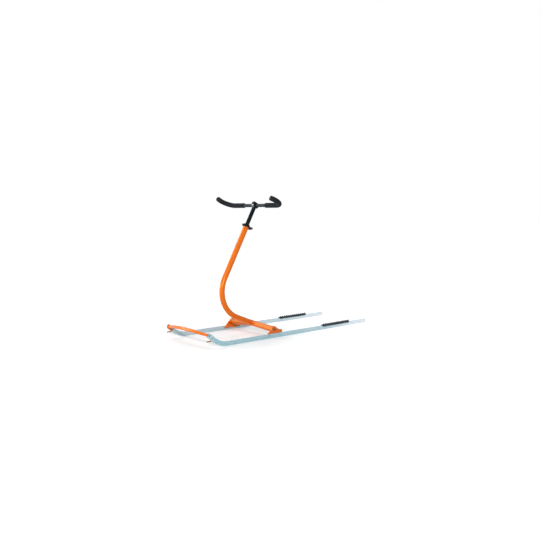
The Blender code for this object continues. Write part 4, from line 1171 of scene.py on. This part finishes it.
def make_mouth_seal():
    """The rubber lip round the post's mouth, over the collar."""
    profile = [(SEAL_BORE, SEAL_FOOT)]
    profile += [(SEAL_RADIUS + offset, height) for offset, height in SEAL_OUTSIDE]
    profile += [(SEAL_BORE + offset, height) for offset, height in SEAL_LIP]
    seal = moved(lathe(profile, SEAL_POINTS, closed=True), frame_at(POST_TOP, POST_UP))
    add_piece("mouth_seal", seal, PLASTIC, "sled")


def horn_path(side):
    """The middle line of one grip, from its start round the bar's bend to the end of the horn."""
    out = X_AXIS * side
    tangent = BAR_BEND_RADIUS * math.tan(BAR_BEND / 2)
    centre = out * (BAR_CORNER - tangent) + HORN_FORWARD * BAR_BEND_RADIUS
    path = [out * GRIP_START]
    for i in range(BAR_BEND_STEPS + 1):
        turn = BAR_BEND * i / BAR_BEND_STEPS
        spoke = out * math.sin(turn) - HORN_FORWARD * math.cos(turn)
        path.append(centre + spoke * BAR_BEND_RADIUS)
    way = out * math.cos(BAR_BEND) + HORN_FORWARD * math.sin(BAR_BEND)
    path.append(out * BAR_CORNER + way * BAR_HORN)
    return [BAR_AXIS + place for place in path]


def resampled(path, spacing):
    """The same path with points a given distance apart."""
    points = [path[0]]
    for a, b in zip(path, path[1:]):
        count = max(1, round((b - a).length / spacing))
        points += [a.lerp(b, i / count) for i in range(1, count + 1)]
    return points


def grip_ring(place, way, radius):
    """Points round a grip."""
    return ring(place, way, HORN_ACROSS, radius, GRIP_POINTS)


def foam_sleeve(path, ways):
    """A foam sleeve along a path: rolled ends, and a skin that is not quite even."""
    rings = []
    for away, less in GRIP_MOUTH:
        rings.append(grip_ring(path[0] + ways[0] * away, ways[0], GRIP_RADIUS - less))
    for place, way in zip(path[1:-1], ways[1:-1]):
        points = []
        for point in grip_ring(place, way, GRIP_RADIUS - GRIP_SKIN):
            swell = noise.noise(point * GRIP_SWELL_SCALE) * GRIP_SWELL
            points.append(point + (point - place).normalized() * swell)
        rings.append(points)
    for away, less in GRIP_END:
        rings.append(grip_ring(path[-1] - ways[-1] * away, ways[-1], GRIP_RADIUS - less))
    return loft(rings, capped=False)


def make_grips():
    """A foam sleeve and a turned end cap on each half of the bar."""
    for word, side in SIDES:
        path = resampled(horn_path(side), GRIP_SPACING)
        runs = [(b - a).normalized() for a, b in zip(path, path[1:])]
        ways = [(a + b).normalized() for a, b in zip([runs[0]] + runs, runs + [runs[-1]])]
        foam = foam_sleeve(path, ways)
        add_piece(f"foam_grip_{word}", foam, FOAM, "handlebar", ["grip_" + word])
        cap = moved(lathe(END_CAP, GRIP_POINTS), frame_at(path[-1], ways[-1]))
        replaced = ["bar_plug_" + word]
        add_piece(f"end_cap_{word}", cap, PLASTIC, "handlebar", replaced)


# Treads


def tooth_ring(centre, back, front, half, level):
    """An oblong with cut corners, at one level of a tooth."""
    points = (
        (half - TOOTH_CUT, back),
        (half, back - TOOTH_CUT),
        (half, front + TOOTH_CUT),
        (half - TOOTH_CUT, front),
        (TOOTH_CUT - half, front),
        (-half, front + TOOTH_CUT),
        (-half, back - TOOTH_CUT),
        (TOOTH_CUT - half, back),
    )
    return [Vector((centre + x, y, level)) for x, y in points]


def tread_teeth(centre):
    """A row of ramped teeth along the middle of a tread, and a low rib across it under each."""
    pitch = TREAD_LENGTH / TREAD_TEETH
    parts = []
    for i in range(TREAD_TEETH):
        rear = TREAD_REAR - pitch * i
        foot, crown = (
            (rear - pitch * start, rear - pitch * end, half)
            for start, end, half in (TOOTH_FOOT, TOOTH_CROWN)
        )
        rings = []
        for share, inset in TOOTH_LEVELS:
            back, front, half = (a + (b - a) * share for a, b in zip(foot, crown))
            level = TREAD_DECK + (TREAD_TOP - TREAD_DECK) * share
            rings.append(tooth_ring(centre, back - inset, front + inset, half - inset, level))
        parts.append(loft(rings))
        rib = [(rear - pitch * share, TREAD_DECK + rise) for share, rise in RIB_OUTLINE]
        parts.append(slab(rib, centre - RIB_HALF, centre + RIB_HALF, RIB_EASE))
    return parts


def make_treads():
    """Foot treads: a deck on the runner's edge with teeth on top, and a skirt on either side."""
    seat = RUNNER_HEIGHT + GAP
    lean = TREAD_DECK - seat
    drop = (seat - TREAD_FOOT) * SKIRT_SLOPE
    front = TREAD_REAR - TREAD_LENGTH
    deck = [
        (TREAD_REAR - lean, seat),
        (TREAD_REAR, TREAD_DECK),
        (front, TREAD_DECK),
        (front + lean, seat),
    ]
    skirt = [
        (TREAD_REAR - lean - drop, TREAD_FOOT),
        (TREAD_REAR - lean, seat + SKIRT_SINK),
        (front + lean, seat + SKIRT_SINK),
        (front + lean + drop, TREAD_FOOT),
    ]
    slot = RUNNER_THICKNESS / 2 + GAP
    for word, side in SIDES:
        centre = side * RUNNER_X
        parts = [slab(deck, centre - TREAD_HALF, centre + TREAD_HALF, TREAD_EASE)]
        parts.append(slab(skirt, centre + slot, centre + SKIRT_REACH, SKIRT_EASE))
        parts.append(slab(skirt, centre - SKIRT_REACH, centre - slot, SKIRT_EASE))
        parts += tread_teeth(centre)
        pad = merged(*parts)
        replaced = ["foot_tread_" + word]
        keep_flats(add_piece(f"tread_pad_{word}", pad, TREAD, "sled", replaced))


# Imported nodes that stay


def dress_nodes():
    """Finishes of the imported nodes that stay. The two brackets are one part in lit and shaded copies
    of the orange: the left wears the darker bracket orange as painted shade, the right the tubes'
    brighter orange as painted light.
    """
    # Painted shade and light: the same bracket in a darker and a brighter orange.
    dress_node("bracket_left", SHADED_ORANGE, BRACKET_EDGE)
    dress_node("bracket_right", ORANGE, BRACKET_EDGE)
    for word, _ in SIDES:
        dress_node("cross_plug_" + word, PLASTIC)
    for name in ("cross_tube", "post_tube", "front_bow"):
        dress_node(name, ORANGE)
    dress_node("stem_bush", PLASTIC)
    dress_node("clamp_collar", PAINT, CLAMP_EDGE)
    dress_node("clamp_skewer", DARK)
    dress_node("skewer_knob", DARK, KNOB_EDGE)
    dress_node("cam_saddle", PLASTIC, SADDLE_EDGE)
    dress_node("release_lever", PAINT, CLAMP_EDGE)
    dress_node("stem_tube", PAINT)
    # The stem head carries a painted highlight on its saddle.
    dress_node("stem_head", HIGHLIGHT_BLACK, HEAD_EDGE)
    dress_node("head_cap", PAINT, HEAD_EDGE)
    dress_node("handlebar", GLOSS)


# Stage


def make_floor():
    """A pale floor that keeps the sled's shadow, and runs out to white away from it."""
    bm = bmesh.new()
    corners = ((-1, -1), (1, -1), (1, 1), (-1, 1))
    bm.faces.new([bm.verts.new((x * FLOOR_REACH, y * FLOOR_REACH, 0)) for x, y in corners])
    mesh = bpy.data.meshes.new("floor")
    bm.to_mesh(mesh)
    bm.free()
    floor = add_object("floor", mesh)
    made = Finish("floor", Base_Color=FLOOR_COLOUR, Roughness=0.75, Specular_IOR_Level=0.1)
    away = made.vector_math("DISTANCE", made.place, FLOOR_MIDDLE)
    fade = made.remap(away, FLOOR_FADE_START, FLOOR_FADE_END, FLOOR_GLOW_START, FLOOR_GLOW_END)
    strength = made.math("MULTIPLY", made.ray_share(), fade)
    glow = made.node("ShaderNodeEmission", [("Color", FLOOR_GLOW_COLOUR), ("Strength", strength)])
    both = made.node("ShaderNodeAddShader", [(0, made.shader.outputs[0]), (1, glow.outputs[0])])
    made.feed(made.tree.nodes["Material Output"].inputs["Surface"], both.outputs[0])
    mesh.materials.append(made.material)


def make_world():
    """White behind everything, and a plainer level for the light that falls on the sled."""
    world = bpy.data.worlds.new("studio")
    bpy.context.scene.world = world
    world.use_nodes = True
    made = Wiring(world.node_tree)
    ambient = made.tree.nodes["Background"]
    ambient.inputs["Color"].default_value = AMBIENT_COLOUR
    ambient.inputs["Strength"].default_value = AMBIENT
    seen = made.node("ShaderNodeBackground", [("Color", WHITE), ("Strength", 1.0)])
    inputs = [(0, made.ray_share()), (1, ambient.outputs[0]), (2, seen.outputs[0])]
    mix = made.node("ShaderNodeMixShader", inputs)
    made.feed(made.tree.nodes["World Output"].inputs["Surface"], mix.outputs[0])


def add_lamp(name, place, target, size, power, colour=(1, 1, 1)):
    """A square soft box that faces a target."""
    lamp = bpy.data.lights.new(name, "AREA")
    lamp.shape = "SQUARE"
    lamp.size = size
    lamp.energy = power
    lamp.color = colour
    made = add_object(name, lamp)
    made.location = place
    made.rotation_euler = (Vector(target) - Vector(place)).to_track_quat("-Z", "Y").to_euler()


def make_lamps():
    """A key lamp high on the right, a low one at the front right, one by the camera, and a sun."""
    add_lamp(
        "key",
        place=(-3.4, -1.7, 3.4),
        target=(0, -0.2, 0.5),
        size=2.0,
        power=62,
        colour=(1.0, 0.985, 0.96),
    )
    add_lamp(
        "side",
        place=(-2.5, -3.3, 0.75),
        target=(0, -0.3, 0.45),
        size=0.7,
        power=62,
        colour=(1.0, 0.97, 0.90),
    )
    add_lamp("front", place=(3.94, -3.86, 2.10), target=(0, -0.3, 0.3), size=0.2, power=178)
    sun = bpy.data.lights.new("overhead", "SUN")
    sun.energy = SUN_POWER
    sun.angle = SUN_SPREAD
    add_object("overhead", sun).location = SUN_PLACE


def make_camera():
    """The camera at the photograph's place."""
    data = bpy.data.cameras.new("camera")
    data.lens = CAMERA_LENS
    data.sensor_width = CAMERA_SENSOR
    data.clip_start, data.clip_end = CAMERA_CLIP
    camera = add_object("camera", data)
    camera.location = CAMERA_PLACE
    camera.rotation_euler = CAMERA_TURN
    bpy.context.scene.camera = camera


dress_nodes()
make_runners()
make_hooks()
make_treads()
make_fasteners()
make_post_weld()
make_bracket_welds()
make_bow_welds()
make_mouth_seal()
make_grips()
make_floor()
make_world()
make_lamps()
make_camera()
bpy.context.scene.view_settings.view_transform = "Standard"
